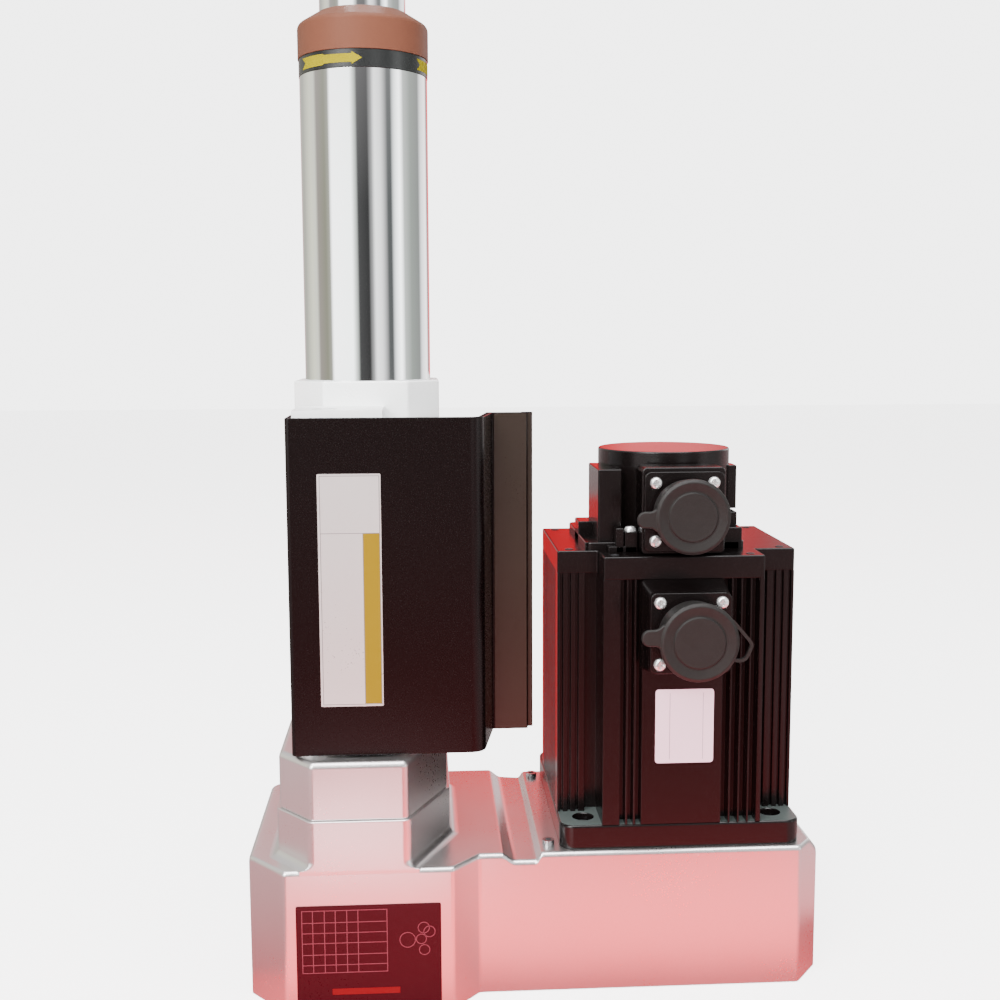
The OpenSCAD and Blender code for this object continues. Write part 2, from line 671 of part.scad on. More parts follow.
module damper_rod() color([0.84, 0.85, 0.86]) translate([damper_x, rod_y, 0]) {
  translate([0, 0, foot_z - 12]) cylinder(r = 3, h = 13, $fn = 32);
  translate([0, 0, foot_z]) cylinder(r = damper_rod_r, h = check_z - foot_z + 1, $fn = 48);
  translate([0, 0, check_z]) cylinder(r = damper_bore - 0.2, h = 5);
  translate([0, 0, foot_z]) cylinder(r = 5.8, h = 5, $fn = 6);
}

module stop_rod() color([0.70, 0.71, 0.72]) translate([stop_x, rod_y, arm_z]) {
  cylinder(r = stop_r, h = shelf_z - 10 - arm_z, $fn = 48);
  translate([0, 0, shelf_z - 10 - arm_z - eps]) cylinder(r1 = stop_r, r2 = stop_r - 1, h = 1.5, $fn = 48);
}

nut_h = 10;
nut_z = shelf_z - stroke - 1 - 2 * nut_h;
module stop_nuts() color([0.30, 0.30, 0.31]) translate([stop_x, rod_y, 0]) {
  for (z = [nut_z, nut_z + nut_h + 0.1]) translate([0, 0, z]) hex_nut(stop_r, nut_h - 0.1);
  translate([0, 0, arm_z + arm_h]) hex_nut(stop_r, 7);
}
module hex_nut(r, h) difference() {
  cylinder(r = r * 1.78, h = h, $fn = 6);
  translate([0, 0, -1]) cylinder(r = r + seat_gap, h = h + 2, $fn = 48);
}

module sensor_dog() color([0.75, 0.76, 0.77]) translate([stop_x, rod_y, dog_z]) difference() {
  cylinder(r = 10, h = dog_h);
  translate([0, 0, -1]) cylinder(r = stop_r + seat_gap, h = dog_h + 2, $fn = 48);
  translate([0, -9.5, dog_h / 2]) rotate([90, 0, 0]) cylinder(r = 1.6, h = 3, $fn = 24);
}

// Spindle

module splined(r, root, key, h) {
  cylinder(r = root, h = h);
  intersection() {
    for (i = [0 : 2]) rotate(60 * i) translate([-r, -key / 2, 0]) cube([2 * r, key, h]);
    cylinder(r = r, h = h);
  }
}

spline_z = low_bearing_z + 9;
nose_face = quill_z + 1.2;
taper_z = nose_face - 14;
function taper_r(z) = 6.1 + (z - taper_z) * tan(8);
module spindle() color([0.66, 0.67, 0.69]) {
  spline_top = arm_z - 8;
  difference() {
    union() {
      translate([0, 0, spline_z]) splined(spline_r, spline_root, spline_key, spline_top - spline_z);
      translate([0, 0, spline_top - eps]) cylinder(r = bearing_bore, h = quill_z - spline_top);
      translate([0, 0, rear_seat_z + 24.4]) cylinder(r = 12, h = nose_seat_z - rear_seat_z - 24.6);
      translate([0, 0, quill_z - 5]) cylinder(r = 11.5, h = 6.2 + eps);
      translate([0, 0, nose_face]) cylinder(r = 14.5, h = 4);
      translate([0, 0, nose_face + 4 - eps]) cylinder(r = 12.5, h = 13);
    }
    // Taper seat of the collet
    translate([0, 0, taper_z]) cylinder(r1 = taper_r(taper_z), r2 = taper_r(taper_z + 31.1), h = 31.1);
  }
}

module collet_nut() color([0.24, 0.24, 0.25]) translate([0, 0, nose_face + 4.2]) difference() {
  union() {
    cylinder(r = 17.5, h = 15);
    translate([0, 0, 15 - eps]) cylinder(r1 = 17.5, r2 = 14.5, h = 4);
  }
  translate([0, 0, -1]) cylinder(r = 12.5 + seat_gap, h = 14);
  translate([0, 0, 12]) cylinder(r = 9.6, h = 9);
  for (i = [0 : 5]) rotate(60 * i) translate([16.2, -2.5, -1]) cube([4, 5, 17]);
}

collet_z = taper_z + 1.4;
collet_len = 29.2;
module collet() color([0.72, 0.73, 0.74]) translate([0, 0, collet_z]) difference() {
  union() {
    cylinder(r1 = taper_r(collet_z) - 0.04, r2 = taper_r(collet_z + collet_len) - 0.04, h = collet_len);
    translate([0, 0, collet_len - eps]) cylinder(r = 9.4, h = 6.5);
  }
  translate([0, 0, -1]) cylinder(r = 5, h = 50);
  for (i = [0 : 2]) rotate(60 * i) translate([-20, -0.5, 8]) cube([40, 1, 40]);
}

// Drive train

module drive_sleeve() color([0.62, 0.63, 0.65]) difference() {
  union() {
    translate([0, 0, low_bearing_z + 0.4]) cylinder(r = sleeve_r, h = sleeve_top - low_bearing_z - 0.4);
    translate([0, 0, gear_z - 3]) cylinder(r = sleeve_r + 4, h = 2.9);
  }
  translate([0, 0, low_bearing_z]) splined(spline_r + 0.15, spline_root + 0.15, spline_key + 0.3, 200);
}

module spindle_gear() color([0.56, 0.55, 0.52])
  translate([0, 0, gear_z]) spur_gear(spindle_teeth, sleeve_r + seat_gap, 0, 0, sleeve_r + 6);

module sleeve_bearings() color([0.70, 0.71, 0.72])
  for (z = [low_bearing_z, high_bearing_z]) translate([0, 0, z]) bearing(bearing_r, sleeve_r + run_gap, bearing_h);

module idler_gear() color([0.56, 0.55, 0.52])
  translate([idler_at[0], idler_at[1], gear_z])
    spur_gear(idler_teeth, idler_seat_r + seat_gap, idler_phase, 0, idler_seat_r + 6);

module idler_pin() color([0.70, 0.71, 0.72])
  translate([idler_at[0], idler_at[1], idler_pin_z]) cylinder(r = idler_pin_r, h = idler_pin_top - idler_pin_z);

module idler_bearings() color([0.70, 0.71, 0.72])
  for (z = [gear_z + 1, gear_z + gear_width / 2])
    translate([idler_at[0], idler_at[1], z]) bearing(idler_seat_r, idler_pin_r + run_gap, gear_width / 2 - 1);

module motor_gear() color([0.56, 0.55, 0.52])
  translate([motor_x, motor_y, gear_z])
    spur_gear(motor_teeth, rotor_shaft_r + seat_gap, motor_phase, 0, rotor_shaft_r + 8);

module motor_rotor() color([0.50, 0.51, 0.53]) at_motor() {
  translate([0, 0, gear_z - 6]) cylinder(r = rotor_shaft_r, h = body_z + 4 - gear_z + 6);
  translate([0, 0, body_z + 4 - eps]) cylinder(r = 12.5, h = motor_h - 6.2);
  translate([0, 0, body_z + 22]) cylinder(r = rotor_r, h = motor_h - 42);
  translate([0, 0, bell_z - 4]) cylinder(r = 6, h = bell_h + 18);
  translate([0, 0, bell_top + 9]) cylinder(r = 24, h = 2);
}

module motor_bearings() color([0.70, 0.71, 0.72]) at_motor() {
  translate([0, 0, body_z + 4.2]) bearing(26, 12.5 + run_gap, 14.8);
  translate([0, 0, bell_z - 17]) bearing(26, 12.5 + run_gap, 15);
}

module motor_stator() color([0.55, 0.38, 0.22])
  at_motor() translate([0, 0, body_z + 24]) tube(stator_r - seat_gap, rotor_r + 0.6, motor_h - 46);

module motor_flange() color([0.05, 0.05, 0.055]) at_motor() difference() {
  union() {
    translate([0, 0, flange_z]) linear_extrude(flange_t)
      polygon(rounded([[-1, -1], [1, -1], [1, 1], [-1, 1]] * flange_w / 2, 7, 6));
    translate([0, 0, flange_z - pilot_h]) cylinder(r = pilot_r, h = pilot_h + eps);
    translate([0, 0, body_z - eps]) cylinder(r = 30, h = 19.5);
  }
  translate([0, 0, body_z + 4]) cylinder(r = 26 + seat_gap, h = 30);
  translate([0, 0, flange_z - 20]) cylinder(r = rotor_shaft_r + 2, h = 60);
  in_corners(hole_at) {
    translate([0, 0, flange_z - 1]) cylinder(r = 3.3, h = flange_t + 2, $fn = 32);
    translate([0, 0, body_z - 9.5]) cylinder(r = 5.5, h = 11, $fn = 48);
  }
}

module motor_screws() color([0.12, 0.12, 0.13])
  at_motor() in_corners(hole_at) translate([0, 0, body_z - 9.5]) cap_screw(6, 12);

// Cross-section of the finned motor housing
module plus_profile() {
  square([2 * panel_half, 2 * panel_front], center = true);
  square([2 * side_half, 2 * side_front], center = true);
}

module fin_slots(n, first, pitch, width, depth, edge)
  for (i = [0 : n - 1]) translate([first + pitch * i, -edge - 1]) square([width, depth + 1]);

module motor_body() color([0.06, 0.05, 0.05]) at_motor() translate([0, 0, body_z]) linear_extrude(motor_h)
  difference() {
    plus_profile();
    circle(r = stator_r);
    // Recess beside each corner block
    for (sx = [-1, 1], sy = [-1, 1]) translate([sx * (panel_half + gap_w / 2), sy * (side_front - 2)])
      square([gap_w, 8.01], center = true);
    // Cooling slots of the front and back panels
    for (side = [0, 180]) rotate(side) {
      fin_slots(4, 21, 5, 4, 9, panel_front);
      fin_slots(3, -33.4, 4.2, 3, 8, panel_front);
    }
    // Cooling slots of the two sides
    for (side = [90, 270]) rotate(side) fin_slots(14, -34.5, 5, 2.6, 6, side_half);
    // Fine slots on the faces of the corner blocks
    for (sx = [-1, 1], sy = [-1, 1]) scale([sx, sy]) for (i = [0 : 2])
      translate([53 + 4.2 * i, side_front - 3]) square([1.5, 4]);
  }

module end_bell() color([0.06, 0.055, 0.055]) at_motor() difference() {
  union() {
    translate([0, 0, bell_z]) linear_extrude(bell_h) plus_profile();
    translate([0, 0, bell_z - 19]) cylinder(r = 30, h = 19 + eps);
  }
  translate([0, 0, bell_z - 20]) cylinder(r = 26 + seat_gap, h = 18.4);
  translate([0, 0, bell_z - 3]) cylinder(r = 9, h = bell_h + 4);
}

module encoder_housing() color([0.07, 0.065, 0.065]) at_motor() difference() {
  union() {
    translate([0, 0, bell_top]) cylinder(r = encoder_d / 2, h = encoder_h);
    // Cable block at the front left with its low step, and rib on the right
    translate([-42, -38, bell_top]) cube([13, 41.5, 43]);
    translate([-49, -8, bell_top]) cube([17, 18, 11]);
    translate([30, -12, bell_top + 18]) cube([9.5, 14, 24.3]);
    // Foot plate, with two steps at its right and the pad of the connector box in front
    translate([-49, -pad_front, bell_top]) cube([86.5, 2 * pad_front, 4]);
    translate([23, -pad_front, bell_top]) cube([13, 30, 11.4]);
    translate([23, -pad_front + 11, bell_top]) cube([12.7, 20, 18.4]);
    translate([-19, -pad_front, bell_top]) cube([38, 14, encoder_zc + 20 - bell_top]);
  }
  translate([0, 0, bell_top - 1]) cylinder(r = encoder_d / 2 - 4, h = encoder_h - 4);
}

module lead_clip() color([0.08, 0.08, 0.08]) at_motor() translate([-34, -49.6, bell_top]) {
  cube([11.7, 8.3, 10.8]);
  translate([0, 1.2, 0]) cube([4.6, 7.1, 12.8]);
  translate([-4, 0, 0]) cube([15.7, 8.3, 3]);
  translate([8.2, 4.2, 10.8 - eps]) cylinder(r = 3.4, h = 2.6, $fn = 32);
}

// Connectors on the front of the motor

box_d = 15;
module power_box() color([0.07, 0.07, 0.07]) at_motor() difference() {
  translate([0, -panel_front, 0]) rotate([90, 0, 0]) linear_extrude(box_d)
    polygon(rounded([[-21.5, power_z - 22.5], [21.5, power_z - 22.5], [21.5, power_z + 23], [-21.5, power_z + 23]], 3));
  translate([0, -panel_front + 1, power_z]) rotate([90, 0, 0]) cylinder(r = 15, h = box_d + 2);
}

module encoder_box() color([0.07, 0.07, 0.07]) at_motor() difference() {
  translate([0, -encoder_back, 0]) rotate([90, 0, 0]) linear_extrude(encoder_face - encoder_back)
    polygon(rounded([[-22, bell_top + 0.2], [22, bell_top + 0.2], [22, encoder_zc + 23], [-22, encoder_zc + 23]], 3));
  translate([0, -41, encoder_zc]) rotate([90, 0, 0]) cylinder(r = 15, h = 40);
}
encoder_back = pad_front + 0.2;
encoder_face = 60;

// Square flange, shell and pins of a round connector at y = 0, facing -Y
module socket(pitch) rotate([90, 0, 0]) {
  difference() {
    union() {
      linear_extrude(socket_t) polygon(rounded([[-1, -1], [1, -1], [1, 1], [-1, 1]] * socket_w / 2, 3));
      cylinder(r = 16.2, h = socket_t + socket_len);
    }
    translate([0, 0, socket_t + 3]) cylinder(r = 14.4, h = socket_len);
    for (x = [-1, 1], y = [-1, 1]) translate([x * pitch / 2, y * pitch / 2, -1])
      cylinder(r = 2 + seat_gap, h = socket_t + 2, $fn = 24);
  }
  for (i = [0 : 4]) translate([polar(8, 72 * i + 90)[0], polar(8, 72 * i + 90)[1], socket_t + 2])
    cylinder(r = 1.2, h = 9, $fn = 24);
}

power_pitch = 32;
encoder_pitch = 30.5;
module at_power() { translate([motor_x, motor_y - panel_front - box_d, power_z]) children(); }
module at_encoder() { translate([motor_x, motor_y - encoder_face, encoder_zc]) children(); }

module power_socket() color([0.20, 0.20, 0.21]) at_power() socket(power_pitch);
module encoder_socket() color([0.20, 0.20, 0.21]) at_encoder() socket(encoder_pitch);

module pan_screws(pitch) for (x = [-1, 1], z = [-1, 1])
  translate([x * pitch / 2, -socket_t, z * pitch / 2]) rotate([90, 0, 0]) {
    cylinder(r1 = 3.4, r2 = 2.4, h = 2.2, $fn = 32);
    translate([0, 0, -socket_t + 0.2]) cylinder(r = 2, h = socket_t, $fn = 24);
  }

module socket_screws() color([0.85, 0.85, 0.86]) {
  at_power() pan_screws(power_pitch);
  at_encoder() pan_screws(encoder_pitch);
}

// Moulded rubber dust cap: skirt, rim, dished face, pull tab and strap loop
cap_r = 20;
module dust_cap(r, loop, tab) {
  top = socket_t + socket_len + 3.2;
  rotate([90, 0, 0]) {
    difference() {
      union() {
        translate([0, 0, socket_t + 5]) cylinder(r = r - 1.6, h = top - socket_t - 5);
        translate([0, 0, top - cap_lip]) cylinder(r = r, h = cap_lip);
        // Pull tab
        translate([-r - 5, tab, top - cap_lip]) cylinder(r = 4.2, h = 2.6, $fn = 40);
        translate([-r - 5, tab - 4.2, top - cap_lip]) cube([9, 8.4, 2.6]);
        if (loop) translate([r - 1, -2, top - cap_lip]) difference() {
          cylinder(r = 8.2, h = 2.6, $fn = 40);
          translate([0.6, 2.2, -1]) cylinder(r = 4.6, h = 5, $fn = 40);
        }
      }
      translate([0, 0, socket_t]) cylinder(r = 16.2 + slip, h = socket_len + 0.3);
      translate([0, 0, top - 0.8]) cylinder(r = r * 0.67, h = 2);
    }
  }
}

module power_cap() color([0.20, 0.19, 0.19]) at_power() dust_cap(cap_r, true, 2.6);
module encoder_cap() color([0.20, 0.19, 0.19]) at_encoder() dust_cap(cap_r - 0.7, false, -1.2);

gear_case();
bottom_cover();
bottom_screws();
case_screws();
body_casting();
barrel();
direction_band();
nose_collar();
wiper_seal();
guide_bush();
tail_bush();
safety_cover();
cover_screws();
control_bracket();
bracket_screws();
damper_body();
speed_knob();
sensor_rail();
feed_sensors();
quill();
quill_cap();
quill_piston();
piston_seal();
spindle_bearings();
feed_arm();
damper_rod();
stop_rod();
stop_nuts();
sensor_dog();
spindle();
collet_nut();
collet();
drive_sleeve();
spindle_gear();
sleeve_bearings();
idler_gear();
idler_pin();
idler_bearings();
motor_gear();
motor_rotor();
motor_bearings();
motor_stator();
motor_flange();
motor_screws();
motor_body();
end_bell();
encoder_housing();
lead_clip();
power_box();
encoder_box();
power_socket();
encoder_socket();
socket_screws();
power_cap();
encoder_cap();
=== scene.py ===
# %% [markdown]
# # A self-feed drilling unit, dressed for the studio
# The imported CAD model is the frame: each of its pieces has a name and rides on a body of the
# mechanism. This lesson adds the surfaces around it: rounded castings, a folded black cover, a finned
# motor, rubber caps and a chromed barrel. Lengths are written in millimetres, as on a drawing, and
# become metres in one place.

# %% Load the frame
import math
from functools import partial

import bmesh
import bpy
import numpy as np
from mathutils import Matrix, Vector


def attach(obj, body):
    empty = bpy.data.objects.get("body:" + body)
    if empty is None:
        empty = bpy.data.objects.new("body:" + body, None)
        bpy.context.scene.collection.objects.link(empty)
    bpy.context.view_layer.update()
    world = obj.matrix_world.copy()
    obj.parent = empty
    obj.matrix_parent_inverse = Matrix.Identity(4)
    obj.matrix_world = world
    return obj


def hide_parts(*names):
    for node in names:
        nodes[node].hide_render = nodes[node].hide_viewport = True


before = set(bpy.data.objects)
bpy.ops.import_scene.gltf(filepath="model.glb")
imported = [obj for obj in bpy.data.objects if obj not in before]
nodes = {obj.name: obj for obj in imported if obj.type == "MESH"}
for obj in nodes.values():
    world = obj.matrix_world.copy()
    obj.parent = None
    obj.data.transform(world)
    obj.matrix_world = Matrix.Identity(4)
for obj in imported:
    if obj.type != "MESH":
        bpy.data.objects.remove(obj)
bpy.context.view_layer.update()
MM = 0.001

# %% [markdown]
# ## The camera
# The photograph was taken close up, so upright edges converge and near faces look large. A camera
# could be placed by eye. Here its place and turn were fitted to the motor's 130 mm flange and the
# other long edges, because only a fit makes all of them fall in line. Yaw turns it to the right of
# straight ahead, pitch tips it down, and roll levels the horizon.

# %% Camera
CAMERA_AT = (29.52, -746.47, 346.47)
YAW, PITCH, ROLL = 0.060, -0.122, -0.004
FOCAL_PX, FRAME_PX, SENSOR = 1309.4, 1000.0, 36.0

forward = Vector((math.sin(YAW) * math.cos(PITCH), math.cos(YAW) * math.cos(PITCH), math.sin(PITCH)))
level = Vector((math.cos(YAW), -math.sin(YAW), 0.0))
upright = level.cross(forward)
right = math.cos(ROLL) * level + math.sin(ROLL) * upright
up = math.cos(ROLL) * upright - math.sin(ROLL) * level
camera = bpy.data.objects.new("camera", bpy.data.cameras.new("camera"))
bpy.context.scene.collection.objects.link(camera)
axes = Matrix((right, up, -forward)).transposed().to_4x4()
camera.matrix_world = Matrix.Translation(Vector(CAMERA_AT) * MM) @ axes
camera.data.sensor_width = SENSOR
camera.data.lens = FOCAL_PX / FRAME_PX * SENSOR
camera.data.clip_start = 0.01
bpy.context.scene.camera = camera
print("camera lens", round(camera.data.lens, 2), "mm")

# %% [markdown]
# ## Studio light
# The unit stands on a plain pale floor under soft light. Chrome and black paint are seen by what they
# mirror. A picture of a workshop could surround the unit, but then no stripe could be moved by itself.
# Here a ramp of colours by direction stands for tall light and dark panels, and only reflected rays
# see it. Other rays see an even white sky, and the camera sees a white backdrop.

# %% World nodes


def shader_node(tree, kind, links=None, **settings):
    """A node of a shader tree: settings first, then its inputs linked or set by index or name."""
    node = tree.nodes.new(kind)
    for key, value in settings.items():
        setattr(node, key, value)
    for key, value in (links or {}).items():
        if isinstance(value, bpy.types.NodeSocket):
            tree.links.new(value, node.inputs[key])
        else:
            node.inputs[key].default_value = value
    return node


world = bpy.data.worlds.new("studio")
bpy.context.scene.world = world
world.use_nodes = True
world.node_tree.nodes.clear()
world_node = partial(shader_node, world.node_tree)


def world_math(operation, *values):
    """One math step of the world's shader."""
    return world_node("ShaderNodeMath", dict(enumerate(values)), operation=operation).outputs[0]


print("world:", world.name)

# %% [markdown]
# A ray's direction gives its angle round the unit, and the angle picks a colour from the ramp. The
# ramp runs from 0 to 1, so half a turn to each side is scaled to that.

# %% Panels round the unit
direction = world_node("ShaderNodeTexCoord").outputs["Generated"]
way = world_node("ShaderNodeSeparateXYZ", {0: direction}).outputs
ahead = world_math("MULTIPLY", way["Y"], -1.0)
turn = world_math("MULTIPLY_ADD", world_math("ARCTAN2", way["X"], ahead), 0.5 / math.pi, 0.5)

# Degrees round the unit from its front, positive to the right, with the colour and strength seen there
PANELS = [
    (-180, (0.8, 0.7, 0.6)), (-140, (0.7, 0.7, 0.6)), (-112, (1.4, 1.4, 1.1)), (-100, (1.3, 1.3, 1.1)),
    (-93, (0.5, 0.45, 0.4)), (-75, (0.4, 0.4, 0.3)), (-66, (0.6, 0.6, 0.5)), (-60, (4.5, 4.5, 4.5)),
    (-24, (4.2, 4.4, 4.3)), (-18, (1.6, 1.7, 1.6)), (-11, (0.10, 0.10, 0.10)), (7, (0.06, 0.06, 0.06)),
    (14, (0.6, 0.6, 0.6)), (20, (2.4, 2.4, 2.4)), (29, (2.0, 2.0, 2.0)), (37, (0.8, 0.8, 0.8)),
    (43, (0.16, 0.17, 0.17)), (50, (0.14, 0.15, 0.15)), (58, (2.5, 2.6, 2.6)), (67, (4.5, 4.6, 4.6)),
    (76, (1.0, 1.05, 1.0)), (92, (0.5, 0.55, 0.5)), (114, (0.4, 0.42, 0.4)), (124, (2.0, 2.0, 2.0)),
    (140, (3.0, 2.9, 2.9)), (165, (1.2, 1.1, 1.1)), (180, (0.8, 0.7, 0.6)),
]
ramp = world_node("ShaderNodeValToRGB", {"Fac": turn})
for at, colour in PANELS[:-1]:
    stop = ramp.color_ramp.elements[0] if at == -180 else ramp.color_ramp.elements.new((at + 180) / 360)
    stop.color = (*colour, 1.0)
ramp.color_ramp.elements[-1].color = (*PANELS[-1][1], 1.0)
print("world panels:", len(PANELS))

# %% [markdown]
# Three backgrounds are mixed by the kind of ray. A reflected ray sees the panels and, higher up, the
# ceiling. A ray that only lights a surface sees the even sky, and one from the camera the backdrop.

# %% What each ray sees
CEILING, CEILING_FROM, CEILING_FULL = (0.9, 0.88, 0.88, 1.0), 0.10, 0.75
SKY, SKY_STRENGTH = (1.0, 0.985, 0.985, 1.0), 0.8
WHITE, BACKDROP_STRENGTH = (1.0, 1.0, 1.0, 1.0), 4.6
rise = world_node("ShaderNodeMapRange", {"Value": way["Z"], 1: CEILING_FROM, 2: CEILING_FULL}).outputs[0]
roof = world_node("ShaderNodeMix", {0: rise, 6: ramp.outputs["Color"], 7: CEILING}, data_type="RGBA")
path = world_node("ShaderNodeLightPath").outputs
mirrored = world_node("ShaderNodeBackground", {"Color": roof.outputs[2], "Strength": 1.0}).outputs[0]
even = world_node("ShaderNodeBackground", {"Color": SKY, "Strength": SKY_STRENGTH}).outputs[0]
backdrop = world_node("ShaderNodeBackground", {"Color": WHITE, "Strength": BACKDROP_STRENGTH}).outputs[0]
lit = world_node("ShaderNodeMixShader", {0: path["Is Glossy Ray"], 1: even, 2: mirrored}).outputs[0]
seen = world_node("ShaderNodeMixShader", {0: path["Is Camera Ray"], 1: lit, 2: backdrop}).outputs[0]
world_node("ShaderNodeOutputWorld", {0: seen})
print("world nodes:", len(world.node_tree.nodes))

# %% [markdown]
# ## Lamps
# Shiny things are lit with soft boxes. A point lamp is simpler, but it leaves small hard glints, and a
# wide rectangle leaves a soft sheen. The key stands high at the front left, and a broad fill keeps the
# front faces even. A low red lamp in front of the unit warms its lower faces.

# %% Lamps


def area_light(name, at, toward, size, power, colour, mirrored=True):
    """A soft rectangular lamp aimed at a point and hidden from the camera."""
    data = bpy.data.lights.new(name, "AREA")
    data.shape = "RECTANGLE"
    data.size, data.size_y = size
    data.energy = power
    data.color = colour
    lamp = bpy.data.objects.new(name, data)
    lamp.location = Vector(at)
    lamp.rotation_euler = (Vector(toward) - Vector(at)).to_track_quat("-Z", "Y").to_euler()
    lamp.visible_camera = False
    lamp.visible_glossy = mirrored
    bpy.context.scene.collection.objects.link(lamp)
    return lamp


CLEAR, WARM = (1.0, 0.99, 0.98), (1.0, 0.02, 0.05)
area_light("key", (-1.0, -1.5, 1.5), (0.06, 0, 0.2), (0.9, 0.9), 50, CLEAR)
area_light("overhead", (0.1, -0.45, 1.9), (0.1, -0.1, 0.1), (1.8, 1.1), 60, (1.0, 0.99, 1.0))
area_light("front_fill", (-0.25, -2.4, 0.8), (0.06, 0, 0.3), (1.1, 1.1), 125, CLEAR, False)
area_light("low_red", (0.09, -0.27, 0.003), (0.09, -0.27, 1.0), (0.75, 0.30), 1.2, WARM, False)
print("lamps:", len(bpy.data.lights))

# %% [markdown]
# ## Reflection cards
# A card is a glowing sheet whose colour changes along it. It could be one more lamp, but a lamp lights
# everything near it. A card is hidden from every ray but a reflected one, so it colours a gloss and
# casts no light.

# %% Card helpers


def level_sheet(x0, x1, y0, y1, z):
    """Corners of a sheet that lies level at a height."""
    return [(x0, y0, z), (x1, y0, z), (x1, y1, z), (x0, y1, z)]


def upright_sheet(x0, x1, y, z0, z1):
    """Corners of a sheet that stands square to the front."""
    return [(x0, y, z0), (x1, y, z0), (x1, y, z1), (x0, y, z1)]


def mirror_card(name, corners, stops, reach):
    """A glowing sheet that only reflections see, its colour changing along X or Y.

    Each stop is a place along the sheet in metres, and a colour whose size is its strength.
    """
    mesh = bpy.data.meshes.new(name)
    mesh.from_pydata(corners, [], [(0, 1, 2, 3)])
    sheet = bpy.data.objects.new(name, mesh)
    bpy.context.scene.collection.objects.link(sheet)
    sheet.visible_camera = sheet.visible_diffuse = sheet.visible_shadow = sheet.visible_transmission = False
    glow = bpy.data.materials.new(name)
    glow.use_nodes = True
    glow.node_tree.nodes.clear()
    glow_node = partial(shader_node, glow.node_tree)
    low, high = stops[0][0], stops[-1][0]
    place = glow_node("ShaderNodeTexCoord").outputs["Object"]
    along = glow_node("ShaderNodeSeparateXYZ", {0: place}).outputs[reach]
    span = glow_node("ShaderNodeMapRange", {"Value": along, 1: low, 2: high}).outputs[0]
    colours = glow_node("ShaderNodeValToRGB", {"Fac": span})
    for at, colour in stops[1:-1]:
        colours.color_ramp.elements.new((at - low) / (high - low)).color = (*colour, 1.0)
    colours.color_ramp.elements[0].color = (*stops[0][1], 1.0)
    colours.color_ramp.elements[-1].color = (*stops[-1][1], 1.0)
    light = glow_node("ShaderNodeEmission", {"Color": colours.outputs["Color"]}).outputs[0]
    glow_node("ShaderNodeOutputMaterial", {"Surface": light})
    mesh.materials.append(glow)
    return sheet


print("corners of a card:", len(level_sheet(0, 1, 0, 1, 0)))

# %% [markdown]
# Cards lie on the floor in front, under and beside the unit. A list gives places along a card in
# metres with the colour there. The cards end where no face seen from the camera mirrors them.

# %% Cards on the floor
WIDE = 6.0
FRONT_TO_BACK = [
    (-WIDE, (0.8, 0.75, 0.75)), (-1.6, (0.5, 0.4, 0.4)), (-1.0, (0.8, 0.22, 0.22)), (-0.65, (1.1, 0.10, 0.12)),
    (-0.50, (1.6, 0.16, 0.18)), (-0.30, (2.4, 0.26, 0.30)), (-0.24, (4.4, 0.60, 0.66)),
    (-0.14, (4.2, 0.50, 0.56)), (-0.08, (1.1, 0.14, 0.16)), (0.02, (0.8, 0.10, 0.12)), (0.06, (0.7, 0.55, 0.55)),
    (0.9, (0.8, 0.70, 0.70)), (1.5, (1.0, 0.45, 0.47)), (2.2, (0.6, 0.45, 0.45)), (WIDE, (1.0, 1.0, 1.0)),
]
BESIDE = {
    "left": [(-WIDE, (0.9, 0.86, 0.86)), (-0.7, (1.0, 0.80, 0.80)), (-0.4, (1.1, 0.62, 0.63)),
             (-0.2, (0.9, 0.42, 0.43)), (-0.085, (0.9, 0.20, 0.22))],
    "right": [(0.30, (2.0, 0.60, 0.64)), (0.42, (1.5, 0.80, 0.82)), (0.9, (0.9, 0.86, 0.86)),
              (WIDE, (0.9, 0.86, 0.86))],
}
PALE_PATCH = [(-0.44, (3.6, 2.2, 2.3)), (-0.37, (6.5, 4.4, 4.5)), (-0.28, (4.8, 2.3, 2.4))]
mirror_card("floor_card", level_sheet(-WIDE, WIDE, -WIDE, WIDE, 0.0002), FRONT_TO_BACK, "Y")
for side, stops in BESIDE.items():
    start, end = stops[0][0], stops[-1][0]
    mirror_card("floor_card_" + side, level_sheet(start, end, -1.0, 0.06, 0.0005), stops, "X")
mirror_card("pale_patch", level_sheet(-0.50, 0.06, -0.44, -0.28, 0.0003), PALE_PATCH, "Y")
print("floor cards:", 2 + len(BESIDE))

# %% [markdown]
# Two more cards stand upright behind the unit. Level faces, such as the tops of the case and the motor,
# mirror what stands behind them, so the far card gives them their bands of colour. The near one is
# low and narrow, and shows between the neck and the motor.

# %% Upright cards
BEHIND = [
    (-0.75, (1.2, 1.0, 1.0)), (-0.25, (1.3, 0.50, 0.52)), (-0.02, (0.8, 0.02, 0.04)), (0.22, (0.9, 0.02, 0.04)),
    (0.28, (2.1, 0.02, 0.05)), (0.36, (2.1, 0.03, 0.06)), (0.42, (2.8, 0.40, 0.44)), (0.56, (2.6, 0.40, 0.44)),
    (0.66, (1.3, 0.08, 0.10)), (0.76, (0.9, 0.45, 0.46)), (1.1, (0.7, 0.6, 0.6)),
]
BETWEEN = [(0.015, (1.3, 0.01, 0.03)), (0.098, (1.6, 0.01, 0.03))]
mirror_card("back_card", upright_sheet(-0.75, 1.1, 1.7, 0.28, 0.98), BEHIND, "X")
mirror_card("low_card", upright_sheet(0.015, 0.098, 0.30, 0.0, 0.22), BETWEEN, "X")
print("upright cards:", 2)

# %% [markdown]
# ## Shared surface effects
# Painted castings, rubber and machined steel all have a fine grain and slight changes of gloss. Each
# material could have its own noise nodes. One node group makes the effect once, from noise in object
# space, and each material sets its own scale and strength.

# %% Grain group


